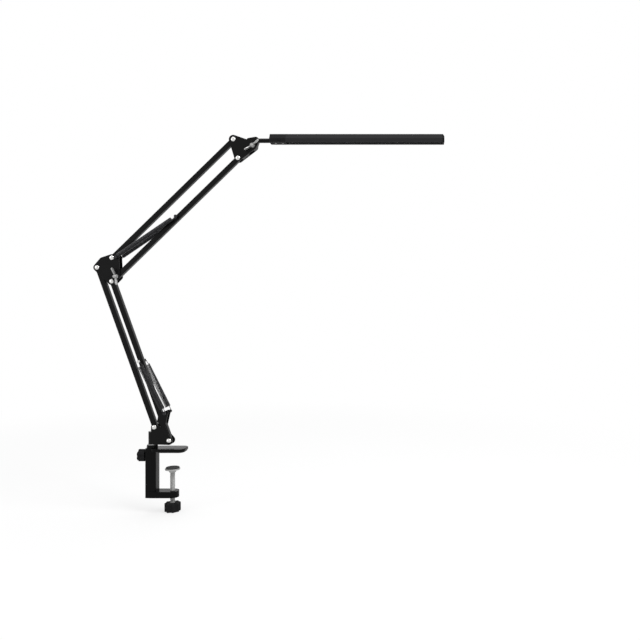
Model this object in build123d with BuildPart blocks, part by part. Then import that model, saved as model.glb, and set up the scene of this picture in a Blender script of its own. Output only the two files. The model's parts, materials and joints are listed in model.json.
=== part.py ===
"""Spring-balanced swing-arm desk lamp with a desk clamp and a long light-bar head.

Millimetres. +Z is up, the arm swings in the XZ plane, and Y runs across the lamp.
The origin is the middle of the upper jaw's pad, on the desk top.
"""

import os
from math import cos, pi, radians, sin

from build123d import *

# Fits
running_gap = 0.08      # radial clearance of a part that turns on a pin
side_gap = 0.1          # play between flat faces that slide on each other
seat_gap = 0.03         # play of a piece that is pressed, glued or screwed in

# Desk clamp
jaw_pad_length = 55.0
jaw_pad_width = 36.0
jaw_pad_thickness = 2.0
jaw_margin = 1.5        # rim of the jaw around its pad
jaw_thickness = 5.6
jaw_corner = 12.0
jaw_edge = 1.4          # rounding of the jaw's rims
swivel_reach = 42.0     # from the middle of the pad back to the swivel axis
backbone_width = 22.0
backbone_depth = 24.0
backbone_edge = 3.0
boss_height = 12.4      # top of the swivel boss above the desk
throat_height = 81.0    # from the pad down to the lower jaw
lower_jaw_thickness = 13.0
lower_jaw_width = 26.0
clamp_opening = 33.0    # desk thickness at rest
clamp_screw_diameter = 10.0
clamp_screw_tip_diameter = 7.0
clamp_screw_tip_length = 5.0
clamp_knob_diameter = 32.0
clamp_knob_height = 18.0
clamp_knob_clearance = 12.0    # free travel between the knob and the lower jaw
foot_diameter = 30.0
foot_thickness = 3.0
foot_hub_diameter = 14.0
foot_pad_thickness = 2.0
foot_pad_inset = 1.5

# Swivel socket, spindle and its lock screw
spindle_diameter = 12.0
spindle_depth = 38.0    # below the desk top
spindle_top = 41.0
collar_diameter = 19.0
collar_thickness = 1.3
bush_wall = 1.5
bush_flange_diameter = 20.0
bush_flange_thickness = 1.5
lock_drop = 8.2         # lock screw axis below the desk top
lock_stud_diameter = 6.0
lock_shoe_length = 2.3
lock_play = 0.3         # between the shoe and the spindle at rest
lock_stud_show = 2.5    # bare stud between the backbone and the knob
lock_knob_diameter = 25.0
lock_knob_height = 14.5

# Arm tubes, their plugs and their pivots
tube_size = 10.5
tube_wall = 1.0
tube_edge = 1.0
plug_length = 12.0
plate_thickness = 1.6
web_inset = 0.08                # how far a folded web lies inside the edge of its cheeks
washer_thickness = 0.8
washer_diameter = 9.6
pivot_diameter = 5.0
rivet_head_diameter = 10.0
rivet_head_height = 2.2
rivet_tail_diameter = 8.6
rivet_tail_height = 1.8
screw_slot_width = 1.0
screw_slot_depth = 0.9

# Arm geometry at rest, in the arm plane
base_pivot_offset = 6.6         # left base pivot ahead of the swivel axis
base_pivot_height = 50.9
lower_link_length = 41.4        # spacing of the lower arm's two pivots
lower_link_angle = -43.6
lower_arm_length = 350.0
lower_arm_angle = 109.7
elbow_step_length = 36.3        # from the lower arm's left pivot to the upper arm's top pivot
elbow_step_angle = 33.4
upper_link_length = 39.7
upper_link_angle = -76.1
upper_arm_length = 350.0
upper_arm_angle = 44.3

# Balance springs
lower_spring_offset = 16.5      # from the arm plane to each lower spring
upper_spring_offset = 12.4
spring_stud_diameter = 4.0
spring_stud_head = 6.4
spring_stud_head_thickness = 1.2
base_stud_length = 58.5         # from the right base pivot to the lower spring's stud
base_stud_angle = 95.5
elbow_stud_length = 10.2        # from the upper arm's top pivot to the upper spring's stud
elbow_stud_angle = 8.5
spring_pin_share = 0.5          # place of the cross pin along its tube
upper_pin_side = 2.0            # upper cross pin off its tube's axis, on the springs' side
lower_coil_diameter = 11.6
lower_wire = 1.2
upper_coil_diameter = 8.5
upper_wire = 1.1
coil_turns = 25
hook_play = 0.15
hook_leg = 6.0
hook_lead = 4.5

# Bracket outlines
base_left_lobe = 6.5
base_right_lobe = 8.0
base_hump_ahead = 14.0          # hump of the base cheek, from the left base pivot
base_hump_drop = 5.9
base_hump_lobe = 5.5
base_strip_width = 8.4
ear_lobe = 4.3
ear_back_lobe = 6.0
ear_back_reach = 12.0           # rear of the spring ear, from its stud
ear_back_drop = 16.0
ear_low_length = 34.0           # foot of the spring ear, along the right tube from its base pivot
elbow_lobe = 7.5
elbow_corner_length = 17.8      # from the lower arm's left pivot to the folded corner
elbow_corner_angle = 50.0
elbow_stud_lobe = 5.0
head_top_lobe = 9.0
head_low_lobe = 7.0
web_clearance = 6.0             # how far a folded web stays from the nearest pivot along its edge

# Clamping bolts with wing nuts
bolt_diameter = 6.0
bolt_head_across = 10.0
bolt_head_height = 4.0
bolt_end = 3.0
clamp_washer_diameter = 12.0
clamp_washer_thickness = 1.2
nut_diameter = 9.2
nut_height = 7.0
nut_taper = 8.0
wing_reach = 18.0
wing_rise = 13.0
wing_thickness = 2.6
elbow_wing_turn = 105.5
tilt_wing_turn = 36.0

# Head joint
tilt_length = 42.2              # from the upper arm's top end pivot to the tilt pivot
tilt_angle = -18.4
tongue_lobe = 8.5
tongue_rear_lobe = 4.6
tongue_front_lobe = 7.0
tongue_rear_back = 8.5          # rear lobe of the tongue, behind and above the tilt pivot
neck_height = 12.0              # neck axis above the tilt pivot
neck_front = 5.5
neck_diameter = 9.4
neck_length = 29.5              # from the front of the tongue to the light bar
stub_diameter = 5.0
stub_end = 3.0
retainer_diameter = 7.2
retainer_thickness = 1.5

# Light bar
bar_width = 24.0
bar_height = 18.0
bar_shoulder = 8.0              # height of the upright part of each side
bar_shoulder_inset = 6.5
bar_top_width = bar_width - 2 * bar_shoulder_inset
bar_below_neck = 5.5            # underside of the bar below the neck axis
bar_wall = 1.6
bar_length = 322.6
housing_length = 33.5
housing_wall = 2.0
housing_end_wall = 4.0
cover_thickness = 1.6
cover_screw_diameter = 2.0
cover_screw_head = 3.8
cover_boss_diameter = 5.0
boss_clearance = 0.4            # between a cover boss and the pieces beside it
wire_way = 3.0                  # free run between the right cover boss and the bar
wire_hole = 5.0
end_cap_thickness = 4.3
end_cap_slope_depth = 2.6
end_cap_slope_height = 5.6
port_diameter = 5.0
port_bore = 2.2
port_sink = 0.4                 # how far a screw port runs into the bar's sloping wall
port_height = 10.0
port_screw_length = 12.0
port_screw_head = 4.0
housing_screw_head = 3.1        # clears the control housing's sloping wall
diffuser_thickness = 1.8
diffuser_recess = 4.6           # the deep frame keeps glare off the eyes
diffuser_lip = 1.0
groove_depth = 0.8
led_board_side = 0.3            # between the board and the sloping walls
led_board_thickness = 1.2
led_board_margin = 4.0
led_count = 44
led_length = 3.5
led_width = 2.8
led_height = 0.7
driver_margin = 0.8             # between the driver board and the housing's sloping walls
driver_thickness = 1.6
driver_drop = 3.7               # board below the housing's ceiling
standoff_diameter = 4.0
button_diameter = 4.4
button_ahead = 20.2             # from the bar's left end
button_height = 5.0             # button and inlet above the bar's underside
button_proud = 0.7
button_travel = 0.8
button_flange = 5.8
button_flange_thickness = 1.0
button_stem = 1.5
switch_size = 6.0
switch_height = 7.6
inlet_diameter = 5.4
inlet_flange_diameter = 6.0
inlet_flange_thickness = 0.6
inlet_depth = 8.0
inlet_bore = 3.6


def step(length, angle):
    """A step in the arm plane, from its length and its angle above +X."""
    return Vector(length * cos(radians(angle)), length * sin(radians(angle)))


def at(point, y=0.0):
    """The place in space of a point of the arm plane, y across the lamp."""
    return Vector(point.X, y, point.Y)


# Points of the arm plane: first X, then Z
swivel_x = -swivel_reach
base_left = Vector(swivel_x + base_pivot_offset, base_pivot_height)
base_right = base_left + step(lower_link_length, lower_link_angle)
elbow_left = base_left + step(lower_arm_length, lower_arm_angle)
elbow_right = elbow_left + step(lower_link_length, lower_link_angle)
elbow_top = elbow_left + step(elbow_step_length, elbow_step_angle)
elbow_bottom = elbow_top + step(upper_link_length, upper_link_angle)
head_top = elbow_top + step(upper_arm_length, upper_arm_angle)
head_bottom = elbow_bottom + step(upper_arm_length, upper_arm_angle)
tilt_pivot = head_top + step(tilt_length, tilt_angle)
base_stud = base_right + step(base_stud_length, base_stud_angle)
elbow_stud = elbow_top + step(elbow_stud_length, elbow_stud_angle)
lower_pin = base_right + step(lower_arm_length * spring_pin_share, lower_arm_angle)
upper_pin = elbow_bottom + step(upper_arm_length * spring_pin_share, upper_arm_angle)
upper_pin = upper_pin + step(upper_pin_side, upper_arm_angle + 90)

# Layers across the lamp, from the arm plane outwards
cheek_inside = tube_size / 2 + side_gap + washer_thickness
cheek_outside = cheek_inside + plate_thickness
nut_seat = cheek_outside + clamp_washer_thickness + 2 * seat_gap
lower_stud_end = lower_spring_offset + lower_wire / 2 + hook_play
upper_stud_end = upper_spring_offset + upper_wire / 2 + hook_play

# Heights of the clamp and of the light bar
jaw_top = jaw_pad_thickness + jaw_thickness
foot_top = -clamp_opening
knob_top = -throat_height - lower_jaw_thickness - clamp_knob_clearance
spindle_radius = spindle_diameter / 2
collar_low = boss_height + bush_flange_thickness + side_gap
bracket_low = collar_low + collar_thickness
neck_z = tilt_pivot.Y + neck_height
bar_left = tilt_pivot.X + neck_front + neck_length
bar_low = neck_z - bar_below_neck
bar_top = bar_low + bar_height
bar_join = bar_left + housing_length
bar_right = bar_join + bar_length


def save(piece, name):
    """Labels a finished piece and writes it."""
    piece.part.label = name
    export_step(piece.part, f"parts/{name}.step")


def arm_plane(y):
    """A sketch plane parallel to the arm plane; its normal points to -Y."""
    return Plane.XZ.offset(-y)


def across_cylinder(point, radius, low, high, mode=Mode.ADD):
    """A round bar across the lamp, from y = low to y = high."""
    with BuildSketch(arm_plane(high)) as disc:
        with Locations(point):
            Circle(radius)
    extrude(disc.sketch, amount=high - low, mode=mode)


def hull_of(lobes):
    """The outline that wraps a list of (point, radius) lobes, inside a sketch."""
    edges = []
    for point, radius in lobes:
        lobe = Circle(radius, mode=Mode.PRIVATE)
        edges.extend(lobe.moved(Location(point)).edges())
    make_hull(edges)


def cheek_pair(outlines, holes):
    """Two sheet-metal cheeks, front and rear; each outline is a list of lobes."""
    for inner, direction in ((-cheek_inside, 1), (cheek_inside, -1)):
        with BuildSketch(arm_plane(inner)) as cheek:
            for outline in outlines:
                hull_of(outline)
            for point, radius in holes:
                with Locations(point):
                    Circle(radius, mode=Mode.SUBTRACT)
        extrude(cheek.sketch, amount=direction * plate_thickness)


def folded_web(start, end, near, far, offset):
    """A strip across the lamp that joins two cheeks along the edge from start to end."""
    along = (end - start).normalized()
    edge_plane = Plane(origin=at(start), x_dir=at(along), z_dir=(0, -1, 0))
    depth = web_inset + plate_thickness / 2
    middle = offset - depth if offset > 0 else offset + depth
    with BuildSketch(edge_plane) as edge:
        with Locations(((near + far) / 2, middle)):
            Rectangle(far - near, plate_thickness)
    extrude(edge.sketch, amount=cheek_outside, both=True)


def rivet(point):
    """A domed rivet across both cheeks, with its formed tail at the rear."""
    shank = pivot_diameter / 2
    head = rivet_head_diameter / 2
    tail = rivet_tail_diameter / 2
    front = -cheek_outside
    rear = cheek_outside
    with BuildPart() as piece:
        with BuildSketch(Plane(origin=at(point), x_dir=(1, 0, 0), z_dir=(0, 0, 1))):
            with BuildLine():
                Line((0, front - rivet_head_height), (0, rear + rivet_tail_height))
                Line((0, rear + rivet_tail_height), (tail * 0.7, rear + rivet_tail_height))
                Line((tail * 0.7, rear + rivet_tail_height), (tail, rear))
                Line((tail, rear), (shank, rear))
                Line((shank, rear), (shank, front))
                Line((shank, front), (head, front))
                RadiusArc(
                    (head, front),
                    (0, front - rivet_head_height),
                    (head**2 + rivet_head_height**2) / (2 * rivet_head_height),
                )
            make_face()
        revolve(axis=Axis(at(point), (0, 1, 0)))
    return piece.part


def washer_pair(point, bore):
    """The two thin washers between a tube end and its cheeks."""
    with BuildPart() as piece:
        for low in (-cheek_inside, cheek_inside - washer_thickness):
            across_cylinder(point, washer_diameter / 2, low, low + washer_thickness)
        across_cylinder(point, bore, -cheek_inside, cheek_inside, mode=Mode.SUBTRACT)
    return piece.part


def arm_tube(start, end, start_pin, end_pin, cross_pin=None):
    """A square tube between two pivots, with radiused ends and holes for its pins."""
    along = (end - start).normalized()
    length = (end - start).length
    middle = (start + end) * 0.5
    front = Plane(origin=at(middle, tube_size / 2), x_dir=at(along), z_dir=(0, -1, 0))
    inside = tube_size - 2 * tube_wall
    with BuildPart() as piece:
        with BuildSketch(front):
            SlotCenterToCenter(length, tube_size)
        extrude(amount=tube_size)
        fillet(piece.faces().filter_by(Axis.Y).edges(), tube_edge)
        with BuildSketch(front.offset(tube_wall)):
            Rectangle(length + 2 * tube_size, inside)
        extrude(amount=inside, mode=Mode.SUBTRACT)
        for point, diameter in ((start, start_pin), (end, end_pin)):
            across_cylinder(point, diameter / 2 + side_gap, -tube_size, tube_size, mode=Mode.SUBTRACT)
        if cross_pin is not None:
            radius = spring_stud_diameter / 2 + seat_gap
            across_cylinder(cross_pin, radius, -tube_size, tube_size, mode=Mode.SUBTRACT)
    return piece


def tube_plug(end, other, pin_diameter):
    """A moulded plug in a tube's end, rounded about the pivot and bored for its pin."""
    along = (other - end).normalized()
    inside = tube_size - 2 * tube_wall - 2 * seat_gap
    rear = Plane(origin=at(end, inside / 2), x_dir=at(along), z_dir=(0, -1, 0))
    with BuildPart() as piece:
        with BuildSketch(rear):
            Circle(inside / 2)
            with Locations((plug_length / 2, 0)):
                Rectangle(plug_length, inside)
        extrude(amount=inside)
        across_cylinder(end, pin_diameter / 2 + running_gap, -inside, inside, mode=Mode.SUBTRACT)
    return piece.part


def plug_pair(start, end, start_pin, end_pin):
    """Both plugs of one tube."""
    with BuildPart() as piece:
        add(tube_plug(start, end, start_pin))
        add(tube_plug(end, start, end_pin))
    return piece


def headed_pin(point, low, high, heads):
    """A spring pin across the lamp, with a flat head at each listed end."""
    with BuildPart() as piece:
        across_cylinder(point, spring_stud_diameter / 2, low, high)
        for end in heads:
            inner = end if end == high else end - spring_stud_head_thickness
            across_cylinder(point, spring_stud_head / 2, inner, inner + spring_stud_head_thickness)
    return piece.part


def spring_studs(point, end):
    """A pair of studs, one riveted into each cheek, for the hooks of two springs."""
    with BuildPart() as piece:
        add(headed_pin(point, -end, -cheek_inside, [-end]))
        add(headed_pin(point, cheek_inside, end, [end]))
    return piece


def biarc(start, start_way, end, end_way):
    """Two arcs that leave start along one direction and reach end along another."""
    reach = end - start
    ways = start_way + end_way
    square = 4 - ways.dot(ways)
    half = reach.dot(ways)
    arm = (-half + (half**2 + square * reach.dot(reach)) ** 0.5) / square
    first = start + start_way * arm
    second = end - end_way * arm
    joint = (first + second) * 0.5
    TangentArc(start, joint, tangent=start_way)
    TangentArc(joint, end, tangent=second - first)


def spring_wire(start, end, y, coil_diameter, wire):
    """One spring: a hook round each stud and the coil between them, as one tube."""
    along = at((end - start).normalized())
    side = Vector(0, 1, 0).cross(along)
    out = Vector(0, 1, 0)
    origin = at(start, y)
    length = (end - start).length
    coil = (coil_diameter - wire) / 2
    hook = spring_stud_diameter / 2 + wire / 2 + hook_play
    coil_start = hook_leg + hook_lead
    coil_end = length - coil_start
    pitch = (coil_end - coil_start) / coil_turns

    def place(u, v, w):
        return origin + along * u + side * v + out * w

    def hook_point(centre, angle):
        return place(centre + hook * cos(radians(angle)), hook * sin(radians(angle)), 0)

    def coil_point(turn):
        angle = 2 * pi * turn
        return place(coil_start + pitch * turn, coil * cos(angle), coil * sin(angle))

    def coil_way(turn):
        angle = 2 * pi * turn
        round_way = side * -sin(angle) + out * cos(angle)
        return (along * pitch + round_way * (2 * pi * coil)).normalized()

    with BuildPart() as piece:
        with BuildLine() as path:
            ThreePointArc(hook_point(0, 360), hook_point(0, 225), hook_point(0, 90))
            Line(place(0, hook, 0), place(hook_leg, hook, 0))
            biarc(place(hook_leg, hook, 0), along, coil_point(0), coil_way(0))
            for half_turn in range(2 * coil_turns):
                turn = half_turn / 2
                biarc(coil_point(turn), coil_way(turn), coil_point(turn + 0.5), coil_way(turn + 0.5))
            leaving = place(length - hook_leg, hook, 0)
            biarc(coil_point(coil_turns), coil_way(coil_turns), leaving, along)
            Line(leaving, place(length, hook, 0))
            ThreePointArc(hook_point(length, 90), hook_point(length, -45), hook_point(length, -180))
        with BuildSketch(Plane(path.line @ 0, z_dir=path.line % 0)):
            Circle(wire / 2)
        sweep()
    return piece, least_gap(path.wire(), wire)


def least_gap(path, wire):
    """The least gap between parts of a wound wire that lie more than half a turn apart."""
    spacing = wire
    count = int(path.length / spacing)
    points = [path.position_at(i / count) for i in range(count + 1)]
    skip = 6
    reach = 60
    gaps = []
    for i, point in enumerate(points):
        for other in points[i + skip:i + reach]:
            gaps.append((point - other).length)
    return min(gaps) - wire


def fluted_knob(plane, diameter, height, flutes, bore, bore_depth):
    """A moulded hand knob on a plane, with scalloped sides and a blind bore from the plane."""
    with BuildPart() as piece:
        with BuildSketch(plane) as profile:
            Circle(diameter / 2)
            with PolarLocations(diameter * 0.6, flutes):
                Circle(diameter * 0.18, mode=Mode.SUBTRACT)
            fillet(profile.vertices(), diameter * 0.04)
        extrude(amount=height)
        rims = piece.faces().filter_by(GeomType.PLANE).sort_by(Axis(plane.origin, plane.z_dir))
        chamfer(rims[-1].edges() + rims[0].edges(), diameter * 0.03)
        with BuildSketch(plane):
            Circle(bore + seat_gap)
        extrude(amount=bore_depth, mode=Mode.SUBTRACT)
    return piece


def clamp_bolt(point):
    """A hex-headed bolt across both cheeks, with its thread standing out at the front."""
    with BuildPart() as piece:
        with BuildSketch(arm_plane(cheek_outside)):
            with Locations(point):
                RegularPolygon(bolt_head_across / 2, 6, major_radius=False)
        extrude(amount=-bolt_head_height)
        across_cylinder(point, bolt_diameter / 2, -nut_seat - nut_height - bolt_end, cheek_outside)
    return piece


def clamp_washer(point):
    """The washer under a wing nut."""
    front = -cheek_outside - seat_gap
    with BuildPart() as piece:
        across_cylinder(point, clamp_washer_diameter / 2, front - clamp_washer_thickness, front)
        across_cylinder(point, bolt_diameter / 2 + running_gap, -nut_seat, 0, mode=Mode.SUBTRACT)
    return piece


def wing_nut(point, turn):
    """A wing nut on the front of a cheek, its wings at the angle turn."""
    along = at(step(1, turn))
    outward = Vector(0, -1, 0)
    seat = Plane(origin=at(point, -nut_seat), x_dir=along, z_dir=outward)
    wing_plane = Plane(origin=seat.origin, x_dir=along, z_dir=along.cross(outward))
    root = nut_diameter / 4
    with BuildPart() as piece:
        with BuildSketch(wing_plane) as wings:
            with BuildLine():
                Polyline(
                    (root, nut_height * 0.1),
                    (wing_reach * 0.6, nut_height * 0.25),
                    (wing_reach, nut_height * 0.75),
                    (wing_reach * 0.94, wing_rise),
                    (wing_reach * 0.6, nut_height * 1.45),
                    (root, nut_height * 0.95),
                    close=True,
                )
            make_face()
            tips = wings.vertices().sort_by(Axis.X)[-2:]
            fillet(tips, wing_thickness * 0.8)
            mirror(about=Plane.YZ)
        extrude(amount=wing_thickness / 2, both=True)
        with BuildSketch(seat):
            Circle(nut_diameter / 2)
        extrude(amount=nut_height, taper=nut_taper)
        with BuildSketch(seat):
            Circle(bolt_diameter / 2 + running_gap)
        extrude(amount=wing_rise, mode=Mode.SUBTRACT)
    return piece


def bar_outline(inset=0.0):
    """The light bar's section: upright sides and sloping shoulders, inside a sketch on YZ."""
    half = bar_width / 2 - inset
    top = bar_top_width / 2 - inset
    Polygon(
        (-half, bar_low + inset),
        (half, bar_low + inset),
        (half, bar_low + bar_shoulder),
        (top, bar_top - inset),
        (-top, bar_top - inset),
        (-half, bar_low + bar_shoulder),
        align=None,
    )


def section_plane(x):
    """A sketch plane across the light bar; its first axis is Y and its second is Z."""
    return Plane.YZ.offset(x)


def half_inside(height, wall):
    """Half the light bar's inside width at a height above its underside."""
    lean = bar_shoulder_inset / (bar_height - wall - bar_shoulder)
    return bar_width / 2 - wall - max(0.0, height - bar_shoulder) * lean


port_lean = bar_shoulder_inset / (bar_height - bar_wall - bar_shoulder)
port_side = half_inside(port_height, bar_wall) - (port_diameter / 2 - port_sink) * (1 + port_lean**2) ** 0.5
port_z = bar_low + port_height
ports = [(-port_side, port_z), (port_side, port_z)]
os.makedirs("parts", exist_ok=True)

# Desk clamp: one casting with the swivel socket, the upper jaw and the lower jaw
bush_radius = spindle_radius + running_gap + bush_wall
socket_floor = -spindle_depth - side_gap
lower_jaw_low = -throat_height - lower_jaw_thickness
jaw_front = jaw_pad_length / 2 + jaw_margin
jaw_width = jaw_pad_width + 2 * jaw_margin
with BuildPart() as clamp_frame:
    with BuildSketch(Plane.XY.offset(jaw_pad_thickness)):
        with Locations(((swivel_x + jaw_front) / 2, 0)):
            RectangleRounded(jaw_front - swivel_x, jaw_width, jaw_corner)
    extrude(amount=jaw_thickness)
    fillet(clamp_frame.faces().filter_by(Axis.Z).edges(), jaw_edge)
    with BuildSketch(Plane.XY.offset(lower_jaw_low)):
        with Locations((swivel_x, 0)):
            RectangleRounded(backbone_width, backbone_depth, backbone_edge)
    extrude(amount=jaw_top - lower_jaw_low)
    with BuildSketch(Plane.XY.offset(lower_jaw_low)):
        with Locations((swivel_x / 2, 0)):
            SlotCenterToCenter(swivel_reach, lower_jaw_width)
    extrude(amount=lower_jaw_thickness)
    with BuildSketch(Plane.XY):
        with Locations((swivel_x, 0)):
            Circle(backbone_width / 2)
    extrude(amount=boss_height)
    with BuildSketch(Plane.XY.offset(boss_height)):
        with Locations((swivel_x, 0)):
            Circle(bush_radius + seat_gap)
    extrude(amount=socket_floor - boss_height, mode=Mode.SUBTRACT)
    with BuildSketch(Plane.XY.offset(lower_jaw_low)):
        Circle(clamp_screw_diameter / 2 + running_gap)
    extrude(amount=lower_jaw_thickness, mode=Mode.SUBTRACT)
    with BuildSketch(Plane.YZ.offset(swivel_x)):
        with Locations((0, -lock_drop)):
            Circle(lock_stud_diameter / 2 + running_gap)
    extrude(amount=-backbone_width, mode=Mode.SUBTRACT)
save(clamp_frame, "clamp_frame")

with BuildPart() as jaw_pad:
    with BuildSketch(Plane.XY):
        RectangleRounded(jaw_pad_length, jaw_pad_width, jaw_corner - jaw_margin)
    extrude(amount=jaw_pad_thickness)
save(jaw_pad, "jaw_pad")

with BuildPart() as socket_bush:
    with BuildSketch(Plane.XY.offset(socket_floor)):
        with Locations((swivel_x, 0)):
            Circle(bush_radius)
    extrude(amount=boss_height - socket_floor)
    with BuildSketch(Plane.XY.offset(boss_height)):
        with Locations((swivel_x, 0)):
            Circle(bush_flange_diameter / 2)
    extrude(amount=bush_flange_thickness)
    with BuildSketch(Plane.XY.offset(socket_floor)):
        with Locations((swivel_x, 0)):
            Circle(spindle_radius + running_gap)
    extrude(amount=boss_height + bush_flange_thickness - socket_floor, mode=Mode.SUBTRACT)
    with BuildSketch(Plane.YZ.offset(swivel_x)):
        with Locations((0, -lock_drop)):
            Circle(lock_stud_diameter / 2 + running_gap)
    extrude(amount=-backbone_width, mode=Mode.SUBTRACT)
save(socket_bush, "socket_bush")

# Pressure foot on the clamp screw
foot_low = foot_top - foot_pad_thickness - foot_thickness
hub_low = foot_low - clamp_screw_tip_length
with BuildPart() as pressure_pad:
    with BuildSketch(Plane.XY.offset(foot_top)):
        Circle(foot_diameter / 2 - foot_pad_inset)
    extrude(amount=-foot_pad_thickness)
save(pressure_pad, "pressure_pad")

with BuildPart() as pressure_foot:
    with BuildSketch(Plane.XY.offset(foot_low)):
        Circle(foot_diameter / 2)
    extrude(amount=foot_thickness)
    with BuildSketch(Plane.XY.offset(hub_low)):
        Circle(foot_hub_diameter / 2)
    extrude(amount=clamp_screw_tip_length)
    with BuildSketch(Plane.XY.offset(hub_low)):
        Circle(clamp_screw_tip_diameter / 2 + running_gap)
    extrude(amount=clamp_screw_tip_length, mode=Mode.SUBTRACT)
save(pressure_foot, "pressure_foot")

screw_in_knob = clamp_knob_height * 0.75
with BuildPart() as clamp_screw:
    with BuildSketch(Plane.XY.offset(knob_top - screw_in_knob)):
        Circle(clamp_screw_diameter / 2)
    extrude(amount=hub_low - side_gap - knob_top + screw_in_knob)
    with BuildSketch(Plane.XY.offset(hub_low - side_gap)):
        Circle(clamp_screw_tip_diameter / 2)
    extrude(amount=clamp_screw_tip_length)
save(clamp_screw, "clamp_screw")

knob_plane = Plane(origin=(0, 0, knob_top), x_dir=(1, 0, 0), z_dir=(0, 0, -1))
clamp_knob = fluted_knob(
    knob_plane, clamp_knob_diameter, clamp_knob_height, 8, clamp_screw_diameter / 2, screw_in_knob)
save(clamp_knob, "clamp_knob")

# Lock screw of the swivel, along -X from the spindle
shoe_front = swivel_x - spindle_radius - lock_play
shoe_back = shoe_front - lock_shoe_length
lock_knob_front = swivel_x - backbone_width / 2 - lock_stud_show
stud_in_knob = lock_knob_height * 0.7
with BuildPart() as lock_shoe:
    with BuildSketch(Plane.YZ.offset(shoe_back)):
        with Locations((0, -lock_drop)):
            Circle(lock_stud_diameter / 2)
    extrude(amount=lock_shoe_length)
save(lock_shoe, "lock_shoe")

with BuildPart() as lock_stud:
    with BuildSketch(Plane.YZ.offset(shoe_back - seat_gap)):
        with Locations((0, -lock_drop)):
            Circle(lock_stud_diameter / 2)
    extrude(amount=lock_knob_front - stud_in_knob - shoe_back + seat_gap)
save(lock_stud, "lock_stud")

lock_plane = Plane(origin=(lock_knob_front, 0, -lock_drop), x_dir=(0, 1, 0), z_dir=(-1, 0, 0))
lock_knob = fluted_knob(
    lock_plane, lock_knob_diameter, lock_knob_height, 6, lock_stud_diameter / 2, stud_in_knob)
save(lock_knob, "lock_knob")

# Base bracket: a sheet folded round the spindle, with ears for the lower springs
with BuildPart() as spindle:
    with BuildSketch(Plane.XY.offset(-spindle_depth)):
        with Locations((swivel_x, 0)):
            Circle(spindle_radius)
    extrude(amount=spindle_depth + bracket_low)
    with BuildSketch(Plane.XY.offset(collar_low)):
        with Locations((swivel_x, 0)):
            Circle(collar_diameter / 2)
    extrude(amount=collar_thickness)
    with BuildSketch(Plane.XY.offset(bracket_low)):
        with Locations((swivel_x, 0)):
            Circle(cheek_inside - seat_gap)
    extrude(amount=spindle_top - bracket_low)
save(spindle, "spindle")

cheek_corner = 0.5
spindle_edge = Vector(swivel_x + cheek_corner, 0)
base_hump = base_left + Vector(base_hump_ahead, -base_hump_drop)
ear_back = base_stud + Vector(-ear_back_reach, -ear_back_drop)
ear_low = base_right + step(ear_low_length, lower_arm_angle)
strip = base_strip_width / 2
base_cheek = [
    (spindle_edge + Vector(0, bracket_low + cheek_corner), cheek_corner),
    (spindle_edge + Vector(0, spindle_top - cheek_corner), cheek_corner),
    (base_left, base_left_lobe),
    (base_hump, base_hump_lobe),
    (base_right, base_right_lobe),
]
base_ear = [
    (base_stud, ear_lobe),
    (ear_back, ear_back_lobe),
    (ear_back + Vector(0, ear_back_lobe + ear_lobe), ear_lobe),
    (ear_low, strip),
]
base_strip = [(base_right, strip), (ear_low, strip)]
pivot_hole = pivot_diameter / 2 + seat_gap
stud_hole = spring_stud_diameter / 2 + seat_gap
bolt_hole = bolt_diameter / 2 + seat_gap
with BuildPart() as base_bracket:
    cheek_pair(
        [base_cheek, base_ear, base_strip],
        [(base_left, pivot_hole), (base_right, pivot_hole), (base_stud, stud_hole)],
    )
    with BuildSketch(Plane.XY.offset(bracket_low)):
        with Locations((swivel_x, 0)):
            Circle(cheek_outside)
            Circle(cheek_inside, mode=Mode.SUBTRACT)
        with Locations((swivel_x + cheek_corner + cheek_outside, 0)):
            Rectangle(2 * cheek_outside, 2 * cheek_outside, mode=Mode.SUBTRACT)
    extrude(amount=spindle_top - bracket_low)
save(base_bracket, "base_bracket")

with BuildPart() as base_rivet:
    add(rivet(base_left))
save(base_rivet, "base_rivet")

with BuildPart() as base_screw:
    add(rivet(base_right))
    slot_floor = -cheek_outside - rivet_head_height + screw_slot_depth
    with BuildSketch(arm_plane(slot_floor)):
        with Locations(Location(base_right, 25)):
            Rectangle(rivet_head_diameter, screw_slot_width)
    extrude(amount=rivet_head_height, mode=Mode.SUBTRACT)
save(base_screw, "base_screw")

with BuildPart() as base_washers:
    for pivot in (base_left, base_right):
        add(washer_pair(pivot, pivot_hole))
save(base_washers, "base_washers")

base_spring_studs = spring_studs(base_stud, lower_stud_end)
save(base_spring_studs, "base_spring_studs")

# Lower arm: two tubes that keep the elbow upright, and the springs at its right tube
lower_left_tube = arm_tube(base_left, elbow_left, pivot_diameter, pivot_diameter)
save(lower_left_tube, "lower_left_tube")
lower_left_plugs = plug_pair(base_left, elbow_left, pivot_diameter, pivot_diameter)
save(lower_left_plugs, "lower_left_plugs")
lower_right_tube = arm_tube(base_right, elbow_right, pivot_diameter, pivot_diameter, lower_pin)
save(lower_right_tube, "lower_right_tube")
lower_right_plugs = plug_pair(base_right, elbow_right, pivot_diameter, pivot_diameter)
save(lower_right_plugs, "lower_right_plugs")

with BuildPart() as lower_spring_pin:
    add(headed_pin(lower_pin, -lower_stud_end, lower_stud_end, [-lower_stud_end, lower_stud_end]))
save(lower_spring_pin, "lower_spring_pin")

spring_gaps = []
for side, y in (("front", -lower_spring_offset), ("rear", lower_spring_offset)):
    lower_spring, gap = spring_wire(base_stud, lower_pin, y, lower_coil_diameter, lower_wire)
    save(lower_spring, f"lower_spring_{side}")
    spring_gaps.append(gap)

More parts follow.
